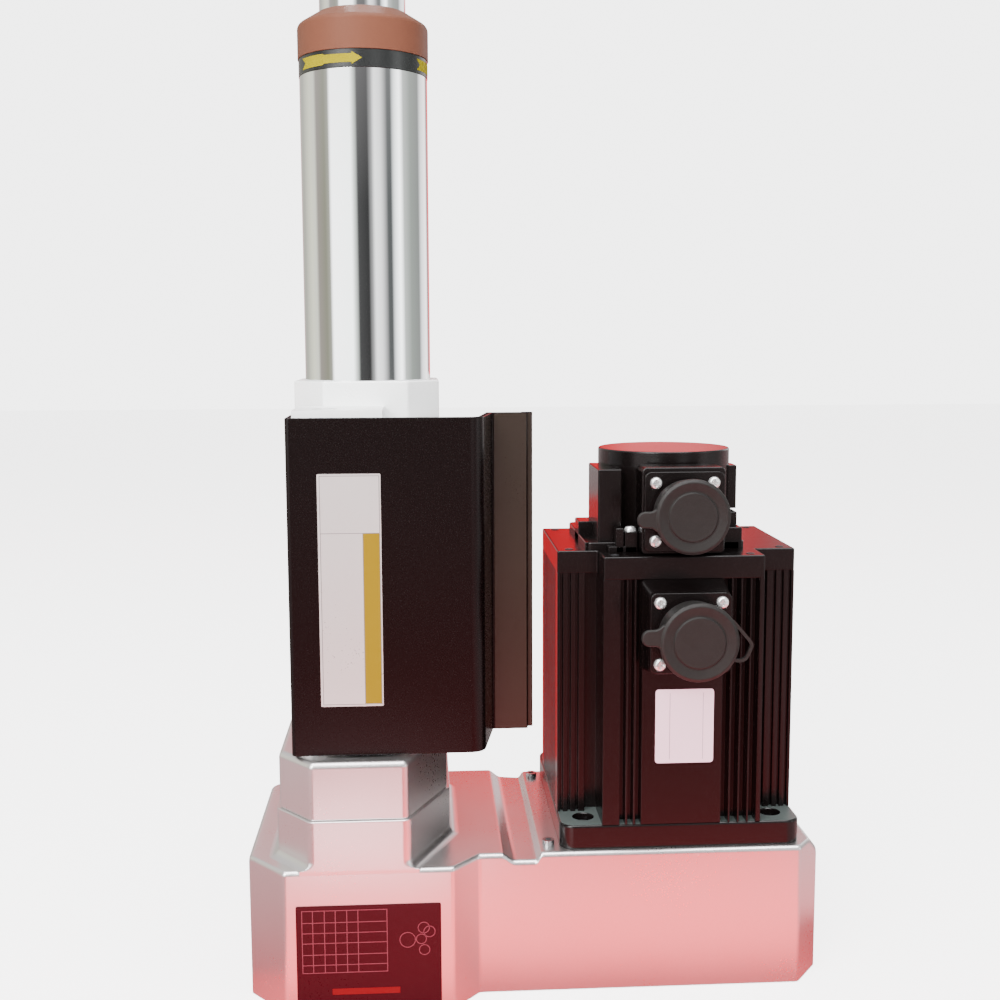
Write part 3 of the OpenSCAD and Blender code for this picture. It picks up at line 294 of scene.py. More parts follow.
def group_socket(group, name, kind, way, value=None):
    """Adds a named input or output to a node group."""
    socket = group.interface.new_socket(name=name, in_out=way, socket_type=kind)
    if value is not None:
        socket.default_value = value
    return socket


grain = bpy.data.node_groups.new("surface_grain", "ShaderNodeTree")
for name, value in (("Scale", 400.0), ("Stretch", 1.0), ("Shade", 0.1), ("Gloss Change", 0.1)):
    group_socket(grain, name, "NodeSocketFloat", "INPUT", value)
group_socket(grain, "Colour", "NodeSocketColor", "INPUT", (0.5, 0.5, 0.5, 1.0))
group_socket(grain, "Roughness", "NodeSocketFloat", "INPUT", 0.4)
group_socket(grain, "Colour", "NodeSocketColor", "OUTPUT")
group_socket(grain, "Roughness", "NodeSocketFloat", "OUTPUT")
group_socket(grain, "Height", "NodeSocketFloat", "OUTPUT")
print("sockets of the grain group:", len(grain.interface.items_tree))

# %% [markdown]
# The grain is fine noise, which can be stretched for ground or drawn faces, plus broad patches several
# centimetres wide. Their sum less one swings about zero. It shifts the shade and the gloss, and the
# fine noise alone gives the relief.

# %% Grain nodes
PATCHES_PER_M = 14.0
grain_node = partial(shader_node, grain)
given = grain_node("NodeGroupInput").outputs
place = grain_node("ShaderNodeTexCoord").outputs["Object"]
squeeze = grain_node("ShaderNodeCombineXYZ", {0: 1.0, 1: 1.0, 2: given["Stretch"]}).outputs[0]
stretched = grain_node("ShaderNodeVectorMath", {0: place, 1: squeeze}, operation="MULTIPLY").outputs[0]
fine = grain_node("ShaderNodeTexNoise", {"Vector": stretched, "Scale": given["Scale"], "Detail": 3.0}).outputs["Fac"]
broad = grain_node("ShaderNodeTexNoise", {"Vector": place, "Scale": PATCHES_PER_M, "Detail": 4.0}).outputs["Fac"]
mixed = grain_node("ShaderNodeMath", {0: fine, 1: broad}, operation="ADD").outputs[0]
centred = grain_node("ShaderNodeMath", {0: mixed, 1: 1.0}, operation="SUBTRACT").outputs[0]
shade = grain_node("ShaderNodeMath", {0: centred, 1: given["Shade"], 2: 1.0}, operation="MULTIPLY_ADD").outputs[0]
shaded = grain_node("ShaderNodeVectorMath", {0: given["Colour"], "Scale": shade}, operation="SCALE").outputs[0]
gloss = grain_node("ShaderNodeMath", {0: centred, 1: given["Gloss Change"], 2: given["Roughness"]},
                   operation="MULTIPLY_ADD", use_clamp=True).outputs[0]
grain_node("NodeGroupOutput", {0: shaded, 1: gloss, 2: fine})
print("grain group nodes:", len(grain.nodes))

# %% [markdown]
# ## Materials
# Each finish is one Principled surface fed by the grain group. Paint, anodising, chrome, rubber and
# brown laminate differ in colour, metal, gloss and the size of their grain. A value that is the same
# all over a finish is set on the surface itself, so that it also reaches an exported model.

# %% Finish helper
RELIEF_DEPTH = 0.0005


def finish(name, colour, roughness, metallic=0.0, scale=400.0, stretch=1.0, shade=0.08, gloss_change=0.1,
           bump=0.02, specular=0.5):
    """A material whose colour, roughness and relief come from the grain group."""
    material = bpy.data.materials.new(name)
    material.use_nodes = True
    tree, links = material.node_tree, material.node_tree.links
    surface = tree.nodes["Principled BSDF"]
    chosen = {"Scale": scale, "Stretch": stretch, "Shade": shade, "Gloss Change": gloss_change,
              "Colour": (*colour, 1.0), "Roughness": roughness}
    effect = shader_node(tree, "ShaderNodeGroup", chosen, node_tree=grain).outputs
    lift = {"Strength": bump, "Distance": RELIEF_DEPTH, "Height": effect["Height"]}
    relief = shader_node(tree, "ShaderNodeBump", lift).outputs
    links.new(effect["Colour"], surface.inputs["Base Color"])
    links.new(effect["Roughness"], surface.inputs["Roughness"])
    links.new(relief["Normal"], surface.inputs["Normal"])
    surface.inputs["Metallic"].default_value = metallic
    surface.inputs["Specular IOR Level"].default_value = specular
    return material


print("depth of the relief:", RELIEF_DEPTH / MM, "mm")

# %% [markdown]
# The castings are silver paint over a rough skin, so they are fully metal, with a grain that spreads
# the light. The column is the same casting as the foot: its copy of the finish is paler and only partly
# metal, which is painted light that makes it look brighter. The black finishes are almost black in
# colour, because a strong fill lights them.

# %% Metal finishes
CAST = finish("silver_casting", (0.76, 0.74, 0.74), 0.30, metallic=0.98, scale=900, shade=0.07, gloss_change=0.12,
              bump=0.07)
# The column's copy of the casting finish: paler and less metallic, as painted light.
CAST_WITH_PAINTED_LIGHT = finish("casting_with_painted_light", (0.93, 0.95, 0.95), 0.40, metallic=0.25, scale=900, shade=0.06, gloss_change=0.18,
                   bump=0.3)
ANODISED = finish("black_anodised", (0.0021, 0.0009, 0.0009), 0.27, scale=1500, shade=0.15, gloss_change=0.06,
                  bump=0.02, specular=0.25)
MOTOR = finish("motor_black", (0.0030, 0.0021, 0.0021), 0.22, scale=1100, shade=0.2, gloss_change=0.10, bump=0.05,
               specular=0.30)
STRIP = finish("cover_strip", (0.013, 0.009, 0.0062), 0.30, scale=1500, shade=0.3, gloss_change=0.1, bump=0.04)
CHROME = finish("hard_chrome", (0.90, 0.91, 0.92), 0.05, metallic=1.0, scale=600, stretch=30, shade=0.02,
                gloss_change=0.03, bump=0.0)
GROUND = finish("ground_steel", (0.72, 0.73, 0.74), 0.16, metallic=1.0, scale=500, stretch=40, shade=0.06,
                gloss_change=0.1, bump=0.02)
MACHINED = finish("machined_steel", (0.46, 0.46, 0.47), 0.30, metallic=1.0, scale=500, stretch=8, shade=0.12,
                  gloss_change=0.15, bump=0.05)
OXIDE = finish("black_oxide", (0.030, 0.030, 0.032), 0.34, metallic=0.6, scale=900, shade=0.2, bump=0.05)
BRIGHT = finish("bright_screw", (0.95, 0.96, 0.96), 0.26, metallic=0.88, scale=700, shade=0.05, bump=0.02)
CUT_EDGE = finish("sawn_edge", (0.006, 0.005, 0.005), 0.6, scale=1500, shade=0.3, bump=0.1, specular=0.05)
# The flange's top face: a paler, teal finish that is a painted highlight.
FLANGE_TOP_HIGHLIGHT = finish("flange_top_painted_highlight", (0.054, 0.066, 0.063), 0.42, scale=700, shade=0.5, gloss_change=0.3, bump=0.06)
BRONZE = finish("bronze", (0.52, 0.34, 0.13), 0.28, metallic=1.0, scale=600, shade=0.1, bump=0.03)
MILLED = finish("milled_aluminium", (0.92, 0.93, 0.93), 0.40, metallic=0.35, scale=500, stretch=0.1, shade=0.06,
                bump=0.04)
WINDING = finish("laminations", (0.20, 0.15, 0.10), 0.5, metallic=0.6, scale=700, stretch=60, shade=0.3, bump=0.1)
print("metal finishes:", len(bpy.data.materials))

# %% [markdown]
# Rubber, laminate and plastic aren't metal, and differ in gloss and in how strongly their grain shows.
# Prints and labels are almost even in colour. Their yellows and reds are set darker than they look on
# the real unit, because the lamps are strong.

# %% Rubber, plastic and print
LAMINATE = finish("brown_laminate", (0.098, 0.036, 0.021), 0.50, scale=700, stretch=6, shade=0.14, gloss_change=0.15,
                  bump=0.06, specular=0.12)
RUBBER = finish("cap_rubber", (0.0072, 0.0066, 0.0062), 0.52, scale=1300, shade=0.25, gloss_change=0.2,
                bump=0.16, specular=0.28)
SEAL = finish("seal_rubber", (0.020, 0.020, 0.020), 0.6, scale=900, shade=0.2, bump=0.1)
PLASTIC = finish("dark_plastic", (0.020, 0.022, 0.030), 0.38, scale=1200, shade=0.2, bump=0.08)
BAND = finish("black_band", (0.0075, 0.0085, 0.0085), 0.30, scale=900, shade=0.2, bump=0.03, specular=0.4)
YELLOW = finish("yellow_print", (0.20, 0.168, 0.0), 0.6, scale=900, shade=0.06, bump=0.02, specular=0.05)
LABEL = finish("label_silver", (0.60, 0.56, 0.55), 0.30, metallic=0.6, scale=900, shade=0.05, bump=0.02)
AMBER = finish("label_amber", (0.15, 0.092, 0.0), 0.5, scale=900, shade=0.05, bump=0.02, specular=0.1)
RULE = finish("label_line", (0.10, 0.09, 0.09), 0.45, scale=900, shade=0.1, bump=0.02)
# The nameplate is white; its pink colour is painted red light falling on it.
PAPER = finish("nameplate_with_painted_red_light", (0.60, 0.38, 0.45), 0.40, scale=900, shade=0.04, bump=0.02)
CHART = finish("chart_plate", (0.026, 0.0016, 0.0034), 0.30, scale=900, shade=0.15, bump=0.03, specular=0.12)
CHART_LINE = finish("chart_line", (0.12, 0.020, 0.030), 0.4, scale=900, shade=0.05, bump=0.02, specular=0.12)
CHART_RED = finish("chart_red", (0.11, 0.0012, 0.0030), 0.4, scale=900, shade=0.05, bump=0.02, specular=0.1)
print("materials:", len(bpy.data.materials))

# %% [markdown]
# ## Geometry helpers
# Almost every part here is a profile carried along a path. Sharp boxes could be bevelled one by one,
# but then each bevel has to be found again when a size changes. Here an outline with rounded corners
# knows its outward direction at each point, so it can be moved in or out by a number.

# %% Rounded outline
SMALLEST_R = 0.02


def unit(vectors):
    """Each vector divided by its own length."""
    return vectors / np.linalg.norm(vectors, axis=-1, keepdims=True)


def rounded(corners, radii, steps=5):
    """Closed outline, counter-clockwise, with an arc at each corner.

    The arc's centre is the corner plus its bisector times radius over the sine of half the corner
    angle. Points between the two tangent points turn evenly about that centre. The outward direction
    is away from the centre at an outer corner and towards it at an inner one.
    """
    p = np.asarray(corners, float)
    r = np.maximum(np.broadcast_to(np.asarray(radii, float), len(p)), SMALLEST_R)[:, None]
    back, ahead = np.roll(p, 1, axis=0) - p, np.roll(p, -1, axis=0) - p
    u, v = unit(back), unit(ahead)
    half = (np.arccos(np.clip((u * v).sum(axis=1), -1, 1)) / 2)[:, None]
    centre = p + unit(u + v) * r / np.sin(half)
    first, last = unit(p + u * r / np.tan(half) - centre), unit(p + v * r / np.tan(half) - centre)
    spread = np.pi - 2 * half
    t = np.linspace(0, 1, steps + 1)[None, :]
    a, b = np.sin((1 - t) * spread) / np.sin(spread), np.sin(t * spread) / np.sin(spread)
    way = a[:, :, None] * first[:, None, :] + b[:, :, None] * last[:, None, :]
    outer = np.sign(back[:, 1] * ahead[:, 0] - back[:, 0] * ahead[:, 1])[:, None, None]
    points = centre[:, None, :] + r[:, :, None] * way
    return points.reshape(-1, 2), (way * outer).reshape(-1, 2)


print("points round a square:", len(rounded([(0, 0), (10, 0), (10, 10), (0, 10)], 1.0)[0]))

# %% [markdown]
# A circle and a rounded rectangle are the outlines needed most. Each gives its outward directions too,
# so that it can be stacked like any other.

# %% Circle and rectangle


def circle(radius, count=64, centre=(0.0, 0.0)):
    """Circle outline and its outward directions, evenly spaced in angle."""
    a = np.arange(count) * 2 * np.pi / count
    way = np.stack([np.cos(a), np.sin(a)], axis=1)
    return way * radius + np.asarray(centre), way


def box_outline(x0, y0, x1, y1, radius=0.6, steps=3):
    """Rounded rectangle between two corners."""
    return rounded([(x0, y0), (x1, y0), (x1, y1), (x0, y1)], radius, steps)


print("points round a rounded box:", len(box_outline(0, 0, 10, 10)[0]))

# %% [markdown]
# Rings of one outline, stacked with different insets, give a block with rounded rims: the insets of a
# rim follow a quarter circle.

# %% Rings


def stack(outline, levels):
    """Rings of one outline: ring k is moved in by inset k and lies at height k."""
    points, way = outline
    inset, height = np.asarray(levels, float).T
    flat = points[None] - way[None] * inset[:, None, None]
    tall = np.broadcast_to(height[:, None, None], flat.shape[:2] + (1,))
    return np.concatenate([flat, tall], axis=2)


def edges(low, high, low_round=0.4, high_round=0.4, steps=4):
    """Levels of a block from low to high whose two rims are quarter-rounded."""
    a = np.linspace(0, np.pi / 2, steps + 1)
    foot = np.stack([low_round * (1 - np.sin(a)), low + low_round * (1 - np.cos(a))], axis=1)
    head = np.stack([high_round * (1 - np.cos(a)), high - high_round * (1 - np.sin(a))], axis=1)
    return np.concatenate([foot, head])


print("levels of a rounded block:", len(edges(0, 10)))

# %% [markdown]
# ## From rings to meshes
# Rings become a mesh with quads between neighbours. They could be made one by one in a loop, but the
# four corners of every quad follow from its row and column, so all are worked out at once.

# %% Faces between rings


def ring_faces(rows, columns, start=0, closed=True):
    """Quads between neighbouring rows of a grid, as indices worked out for the whole grid at once."""
    across = columns if closed else columns - 1
    i, j = np.meshgrid(np.arange(rows - 1), np.arange(across), indexing="ij")
    k = (j + 1) % columns
    quad = np.stack([i * columns + j, i * columns + k, (i + 1) * columns + k, (i + 1) * columns + j], axis=-1)
    return quad.reshape(-1, 4) + start


print("faces of a tube of 3 rings of 8:", len(ring_faces(3, 8)))

# %% [markdown]
# A block with holes could be cut with Booleans, which leave untidy faces. Instead the outside and each
# hole are stacks of their own, and each open end is filled flat between them. Then the shell's faces
# are turned outwards.

# %% One shell
MERGE_WITHIN = 1e-7


def facing(rings):
    """Rings drawn along Z, turned so that a ring's height is its distance in front of the spindle."""
    return np.stack([rings[..., 0], -rings[..., 2], rings[..., 1]], axis=-1)


def shell_mesh(shell, move):
    """Mesh of one closed shell, from stacks of rings.

    The first stack is the outside and the others are holes through it. A shell with holes has each
    end filled by itself: an open edge belongs to the end that it lies nearer to, along the way from
    the first ring's centre to the last ring's.
    """
    part = bmesh.new()
    start, verts, faces = 0, [], []
    for rings in shell:
        verts.append(np.asarray(rings, float).reshape(-1, 3))
        faces.append(ring_faces(rings.shape[0], rings.shape[1], start))
        start += rings.shape[0] * rings.shape[1]
    mesh = bpy.data.meshes.new("part")
    points = (np.concatenate(verts) + np.asarray(move)) * MM
    mesh.from_pydata(points.tolist(), [], np.concatenate(faces).tolist())
    part.from_mesh(mesh)
    bmesh.ops.remove_doubles(part, verts=part.verts, dist=MERGE_WITHIN)
    rim = [e for e in part.edges if e.is_boundary]
    if len(shell) > 1:
        first, last = [Vector((shell[0][k].mean(axis=0) + np.asarray(move)) * MM) for k in (0, -1)]
        far = [(e.verts[0].co + e.verts[1].co - first - last).dot(last - first) > 0 for e in rim]
        for end in (False, True):
            edges_there = [e for e, flag in zip(rim, far) if flag == end]
            bmesh.ops.triangle_fill(part, edges=edges_there, use_beauty=True, use_dissolve=False)
    elif rim:
        bmesh.ops.holes_fill(part, edges=rim, sides=0)
    bmesh.ops.recalc_face_normals(part, faces=part.faces)
    part.to_mesh(mesh)
    part.free()
    return mesh


print("points closer than this are merged:", MERGE_WITHIN, "m")

# %% [markdown]
# Several shells make one piece, which rides on a body of the mechanism and may take the place of a
# CAD node. Edges sharper than a set angle stay sharp, and a weighted-normal modifier keeps large
# flats flat beside their rounded rims.

# %% Pieces


def piece(name, shells, material, body, instead=(), angle=32, move=(0.0, 0.0, 0.0)):
    """One object from shells, with its finish, its body and the CAD nodes that it replaces."""
    builder = bmesh.new()
    for shell in shells:
        part = shell_mesh(shell, move)
        builder.from_mesh(part)
        bpy.data.meshes.remove(part)
    mesh = bpy.data.meshes.new(name)
    builder.to_mesh(mesh)
    builder.free()
    mesh.polygons.foreach_set("use_smooth", np.ones(len(mesh.polygons), bool))
    mesh.set_sharp_from_angle(angle=math.radians(angle))
    mesh.materials.append(material)
    made = bpy.data.objects.new(name, mesh)
    bpy.context.scene.collection.objects.link(made)
    weighted = made.modifiers.new("flat_faces", "WEIGHTED_NORMAL")
    weighted.keep_sharp = True
    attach(made, body)
    if instead:
        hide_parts(*instead)
    print(name, len(mesh.polygons), "faces")
    return made


# %% [markdown]
# Some flats show another finish than the rest of their piece: the cover's sawn end, and the motor
# flange's top, painted paler than its sides as a painted highlight. They could be thin pieces laid on
# top. Giving the faces that look straight up a second material keeps one closed mesh.

# %% Second finish on top
LOOKS_UP = 0.9


def top_material(made, material, above=0.0):
    """Gives the faces that look straight up, and lie above a height, a second material."""
    mesh = made.data
    mesh.materials.append(material)
    normals, centres = np.empty(len(mesh.polygons) * 3), np.empty(len(mesh.polygons) * 3)
    mesh.polygons.foreach_get("normal", normals)
    mesh.polygons.foreach_get("center", centres)
    flat = (normals[2::3] > LOOKS_UP) & (centres[2::3] > above * MM)
    mesh.polygons.foreach_set("material_index", flat.astype(np.int32))
    print(made.name, "faces with the second finish:", int(flat.sum()))


# %% [markdown]
# Round parts are drawn as half a section, as for a lathe, and revolved. Blender's Spin tool would do
# it too, but with whole arrays the section's corners are rounded first, by the same helper as above.

# %% Lathe


def lathe(profile, count=96):
    """Grid of a closed half profile, given as radius and height, turned about Z.

    A point at angle a lies at radius times cosine and sine of a, and the last row repeats the first.
    """
    profile = np.asarray(profile, float)
    a = np.arange(count) * 2 * np.pi / count
    r, z = profile[:, 0][None, :], profile[:, 1][None, :]
    z = np.broadcast_to(z, (count, len(profile)))
    rings = np.stack([r * np.cos(a)[:, None], r * np.sin(a)[:, None], z], axis=2)
    return np.concatenate([rings, rings[:1]])


def turned_piece(name, profile, material, instead, count, radii):
    """A ring of the housing, revolved from a closed half profile with rounded corners."""
    return piece(name, [[lathe(rounded(profile, radii, 4)[0], count)]], material, "housing", instead)


# %% [markdown]
# ## The gear case
# The case is one casting with two bays. Joining boxes would leave seams where they cross. Every cut
# across the case, square to its length, is a rectangle with rounded upper corners, so it is lofted
# along X from such cuts. Its height falls where the channel crosses the top and where the end is
# bevelled.

# %% Gear case sizes
CASE_H, CASE_WALL, PLAN_R = 76.5, 6.0, 3.5
CASE_PLAN = [(-43.5, -100), (43.5, -100), (57.5, -84), (230, -84), (244.5, -65), (244.5, 36.5), (230.5, 50.5),
             (90, 50.5), (70, 55), (-45, 55), (-64, 33), (-64, -76)]
CASE_ENDS = (-64.0, 244.5)
CHANNEL = [(69.0, 0), (70.2, 0.15), (71.6, 0.9), (74.6, 3.2), (76.0, 3.85), (77.4, 4.0), (86.9, 4.0), (88.0, 3.8),
           (89.0, 2.7), (89.9, 1.1), (90.7, 0.25), (91.8, 0.0)]
BEVEL = [(236.4, 0), (237.3, 0.18), (238.3, 0.9), (243.3, 7.3), (244.1, 8.6), (244.5, 10.2)]
EDGE_R = 2.6


def case_top(x):
    """Height of the case's top at x: full height less the channel, the bevel and the rounded left end."""
    top = CASE_H - np.interp(x, *np.array(CHANNEL).T) - np.interp(x, *np.array(BEVEL).T)
    reach = np.clip(EDGE_R - (x - CASE_ENDS[0]), 0, EDGE_R)
    return top - (EDGE_R - np.sqrt(EDGE_R**2 - reach**2))


print("height at the neck and in the channel:", case_top(0.0), case_top(80.0))

# %% [markdown]
# The front and back of each cut are read from the plan outline. Cuts could be evenly spaced, but a bend
# that falls between two of them is lost. So each bend of the plan, the channel and the bevel gets a
# cut of its own, and the wide stretches get a few more.

# %% Cuts across the case


def case_cuts():
    """Closed cuts of the case in the YZ plane, one for each station along X.

    The plan's front and back are read at each station. The upper corners are quarter circles, and
    the underside steps up inside the rim, where the bottom cover is let in.
    """
    plan = rounded(CASE_PLAN, PLAN_R, 6)[0]
    front, back = plan[plan[:, 1] < -30], plan[plan[:, 1] > 0]
    front, back = front[np.argsort(front[:, 0])], back[np.argsort(back[:, 0])]
    bend = np.linspace(0, 1, 5) ** 2 * EDGE_R + CASE_ENDS[0]
    rim = np.array([CASE_ENDS[0] + CASE_WALL, CASE_ENDS[0] + CASE_WALL + 0.02])
    far = CASE_ENDS[0] + CASE_ENDS[1] - rim
    marks = [front[:, 0], back[:, 0], np.array(CHANNEL)[:, 0], np.array(BEVEL)[:, 0], bend, rim, far,
             np.linspace(*CASE_ENDS, 40)]
    x = np.unique(np.round(np.concatenate(marks), 3))
    y0, y1, z1 = np.interp(x, *front.T), np.interp(x, *back.T), case_top(x)
    inside = (x > rim[0] + 0.01) & (x < far[0] - 0.01)
    sill = np.where(inside, 1.0, 0.0)
    a = np.linspace(0, np.pi / 2, 6)
    r = EDGE_R
    near = [(y0 + r * (1 - np.cos(t)), z1 - r * (1 - np.sin(t))) for t in a]
    away = [(y1 - r * (1 - np.cos(t)), z1 - r * (1 - np.sin(t))) for t in a[::-1]]
    low = [(y1, 0 * x), (y1 - CASE_WALL, 0 * x), (y1 - CASE_WALL, sill), (y0 + CASE_WALL, sill),
           (y0 + CASE_WALL, 0 * x), (y0, 0 * x)]
    cut = np.array(near + away + low)
    return np.stack([np.broadcast_to(x, cut.shape[::2]), cut[:, 0], cut[:, 1]], axis=-1).transpose(1, 0, 2)


print("cuts of the case:", len(case_cuts()))

# %% [markdown]
# The neck's lower tier is cast in one with the case. Its sides meet the top in a cove, where the mould
# was rounded, and its front is flush with the case's front. One outline moved out by a quarter circle
# makes the cove, and it fades where the outline looks to the front. A bore keeps the tier hollow, as
# the drive rises through it.

# %% Neck tier and case shell
CASE_FRONT, FLUSH = -100.0, 0.03
CAVITY_R, NECK_R = 26.0, 4.0
NECK_PLAN = [(-29, -98.5), (20, -98.5), (41.5, -50.5), (41.5, 24), (22, 46), (-22, 46), (-46.8, 22), (-46.8, -76.5)]
TIER_FOOT, SEAM_Z, FOOT_Z = 68.0, 102.5, 133.0


def neck_rings():
    """Lower neck tier: its sides meet the case in a cove, and its front runs flush into the case's front.

    Ring k is moved out by the wall offset plus the cove's reach at that height. The cove fades to
    nothing where the outline looks straight to the front.
    """
    points, way = rounded(NECK_PLAN, NECK_R, 6)
    cove, grow = 5.0, 1.5
    side = np.clip((1.0 + way[:, 1]) / 0.12, 0, 1)
    a = np.linspace(0, np.pi / 2, 7)
    reach = np.concatenate([[cove, cove], cove * (1 - np.sin(a)), [0, -0.05, -0.3]])
    height = np.concatenate([[TIER_FOOT, CASE_H - 0.3], CASE_H + cove * (1 - np.cos(a)),
                             [SEAM_Z - 0.7, SEAM_Z - 0.2, SEAM_Z + 0.05]])
    out = grow + np.where(reach > 0, reach, 0)[:, None] * side[None] + np.where(reach < 0, reach, 0)[:, None]
    rings = points[None] + way[None] * out[:, :, None]
    rings = np.concatenate([rings, np.broadcast_to(height[:, None, None], rings.shape[:2] + (1,))], axis=2)
    rings[0, :, 1] = np.where(rings[0, :, 1] < CASE_FRONT + 0.1, CASE_FRONT + 0.3, rings[0, :, 1])
    rings[1:, :, 1] = np.where(rings[1:, :, 1] < CASE_FRONT + 0.01, CASE_FRONT - FLUSH, rings[1:, :, 1])
    return rings


tier_bore = stack(circle(CAVITY_R), [(0, TIER_FOOT), (0, SEAM_Z + 0.05)])
case = [[case_cuts()], [neck_rings(), tier_bore]]
piece("case_shell", case, CAST, "housing", ["gear_case"], angle=28)

# %% [markdown]
# ## Foot and column
# The body casting stands on the case: a foot with a generously rounded rim, and above it a tall
# octagon that grips the barrel. It could be one block with pockets cut into it. Here it is stacked
# from four shells, because its cut across is a different outline at each height: the foot, the bored
# base, the part that is open behind the cover where the feed arm comes out, and the head round the
# barrel.

# %% Foot and column outlines
COLUMN_HALF, COLUMN_FLAT, HEAD_Z = 39.5, 22.6, 324.5
SLOT_HALF, SLOT_LOW, SLOT_HIGH = 11.0, 136.0, 235.5
OCTAGON = [(COLUMN_FLAT, -COLUMN_HALF), (COLUMN_HALF, -COLUMN_FLAT), (COLUMN_HALF, COLUMN_FLAT),
           (COLUMN_FLAT, COLUMN_HALF), (-COLUMN_FLAT, COLUMN_HALF), (-COLUMN_HALF, COLUMN_FLAT),
           (-COLUMN_HALF, -COLUMN_FLAT), (-COLUMN_FLAT, -COLUMN_HALF)]

foot = stack(rounded(NECK_PLAN, NECK_R, 6), edges(SEAM_Z + 0.1, FOOT_Z, 0.9, 3.2, 6))
octagon = rounded(OCTAGON, 2.2, 4)
reach = -math.sqrt(CAVITY_R**2 - SLOT_HALF**2)
sweep = np.linspace(math.atan2(reach, -SLOT_HALF), math.atan2(reach, SLOT_HALF) - 2 * math.pi, 40)
cavity = CAVITY_R * np.stack([np.cos(sweep), np.sin(sweep)], axis=1)
channel = np.concatenate([octagon[0], [(-SLOT_HALF, -COLUMN_HALF)], cavity, [(SLOT_HALF, -COLUMN_HALF)]])
slotted = stack((channel, channel * 0), [(0, SLOT_LOW), (0, SLOT_HIGH)])
head = stack(octagon, edges(SLOT_HIGH, HEAD_Z, 0.05, 1.1, 3))
barrel_seat = stack(circle(35.05, 96), [(0, SLOT_HIGH), (0, HEAD_Z - 0.6), (-0.6, HEAD_Z)])
base = stack(octagon, [(0, FOOT_Z - 1), (0, SLOT_LOW)])
foot_bore = stack(circle(CAVITY_R), [(0, SEAM_Z + 0.1), (0, FOOT_Z)])
base_bore = stack(circle(CAVITY_R), [(0, FOOT_Z - 1), (0, SLOT_LOW)])
print("points round the open column:", len(channel))

# %% [markdown]
# Two bosses at the back carry the air ports. Each is a short rounded disc with a hole, made along Z
# and turned to face back.

# %% Air ports and the casting
PORT_Z, BOSS_R, PORT_R = (252.0, 304.5), 8.9, 4.4
BOSS_END, BOSS_START = -46.0, -38.0


def air_port(z):
    """A boss and its hole, as stacks turned to look to the back."""
    boss = stack(circle(BOSS_R, 40, (0, z)), edges(BOSS_END, BOSS_START, 0.8, 0.05))
    hole = stack(circle(PORT_R, 32, (0, z)), [(0, BOSS_END), (0, BOSS_START)])
    return [facing(boss), facing(hole)]


column = [[base, base_bore], [slotted], [head, barrel_seat]] + [air_port(z) for z in PORT_Z]
piece("foot", [[foot, foot_bore]], CAST, "housing", ["body_casting"], angle=28)
# The column is the same casting as the foot, with a paler finish that is painted light.
piece("column", column, CAST_WITH_PAINTED_LIGHT, "housing", ["body_casting"], angle=28)

# %% [markdown]
# ## Safety cover
# The cover is a black profile: a flat front, a rounded right corner, a slanting side, then a strip set
# back with a small lip. A sheet could be given its thickness by a modifier, but the real wall changes
# where it meets the strip. So the whole section is one closed outline, pulled up with eased ends.

# %% Safety cover
COVER_Z0, COVER_Z1 = 134.4, 307.9
COVER_SECTION = [
    ((-38.6, -42.0), 0.6), ((-38.6, -90.3), 2.2), ((60.4, -90.3), 8.0), ((67.2, -49.8), 0.6), ((86.2, -49.8), 0.9),
    ((86.2, -45.8), 0.5), ((89.2, -45.8), 0.5), ((89.2, -43.8), 0.5), ((83.2, -43.8), 0.5), ((83.2, -46.8), 0.5),
    ((64.3, -46.8), 0.9), ((57.9, -87.3), 5.0), ((-35.6, -87.3), 0.8), ((-35.6, -42.0), 0.6)]
section = rounded([p for p, r in COVER_SECTION], [r for p, r in COVER_SECTION], 6)
cover = stack(section, edges(COVER_Z0, COVER_Z1, 0.35, 0.35, 3))
made = piece("cover", [[cover]], ANODISED, "housing", ["safety_cover"], angle=30)
top_material(made, CUT_EDGE)
strip_ends = [(0, COVER_Z0 + 0.4), (0, COVER_Z1 - 0.4)]
strip = stack(box_outline(68.2, -50.0, 85.6, -49.6, 0.15), strip_ends)
lip = stack(box_outline(86.5, -46.0, 88.9, -45.6, 0.15), strip_ends)
piece("cover_strip", [[strip], [lip]], STRIP, "housing", angle=30)

# %% [markdown]
# ## Barrel, band and collar
# These are turned parts, so each is a closed half profile revolved about the spindle axis. The band
# sits in a shallow groove under the barrel's nose, and the brown collar is pressed into the bore.

# %% Turned parts
BARREL_R, BORE_R, QUILL_SEAT_R = 35.0, 29.1, 24.0
BARREL_Z, BAND_Z, NOSE_Z, COLLAR_Z = 247.5, 488.5, 498.0, 522.5
GROOVE_R, BAND_R, COLLAR_R, PLUG_R = BARREL_R - 0.8, BARREL_R + 0.25, BARREL_R + 0.7, 29.05
turned_piece("barrel_tube",
             [(BARREL_R, BARREL_Z), (BARREL_R, BAND_Z), (GROOVE_R, BAND_Z), (GROOVE_R, NOSE_Z), (BORE_R, NOSE_Z),
              (BORE_R, BARREL_Z)],
             CHROME, ["barrel"], 160, 0.12)
turned_piece("band",
             [(BAND_R, BAND_Z + 0.1), (BAND_R, NOSE_Z - 0.1), (GROOVE_R + 0.02, NOSE_Z - 0.1),
              (GROOVE_R + 0.02, BAND_Z + 0.1)],
             BAND, ["direction_band"], 128, 0.15)
COLLAR_PROFILE = [
    ((QUILL_SEAT_R, 490.0), 0.25), ((PLUG_R, 490.0), 0.25), ((PLUG_R, NOSE_Z + 0.05), 0.2),
    ((COLLAR_R, NOSE_Z + 0.05), 0.25), ((COLLAR_R, 515.6), 3.5), ((24.6, COLLAR_Z), 0.25), ((23.9, COLLAR_Z), 0.25),
    ((23.9, 520.4), 0.25), ((26.8, 520.0), 0.25), ((26.8, 514.5), 0.25), ((QUILL_SEAT_R, 514.5), 0.25)]
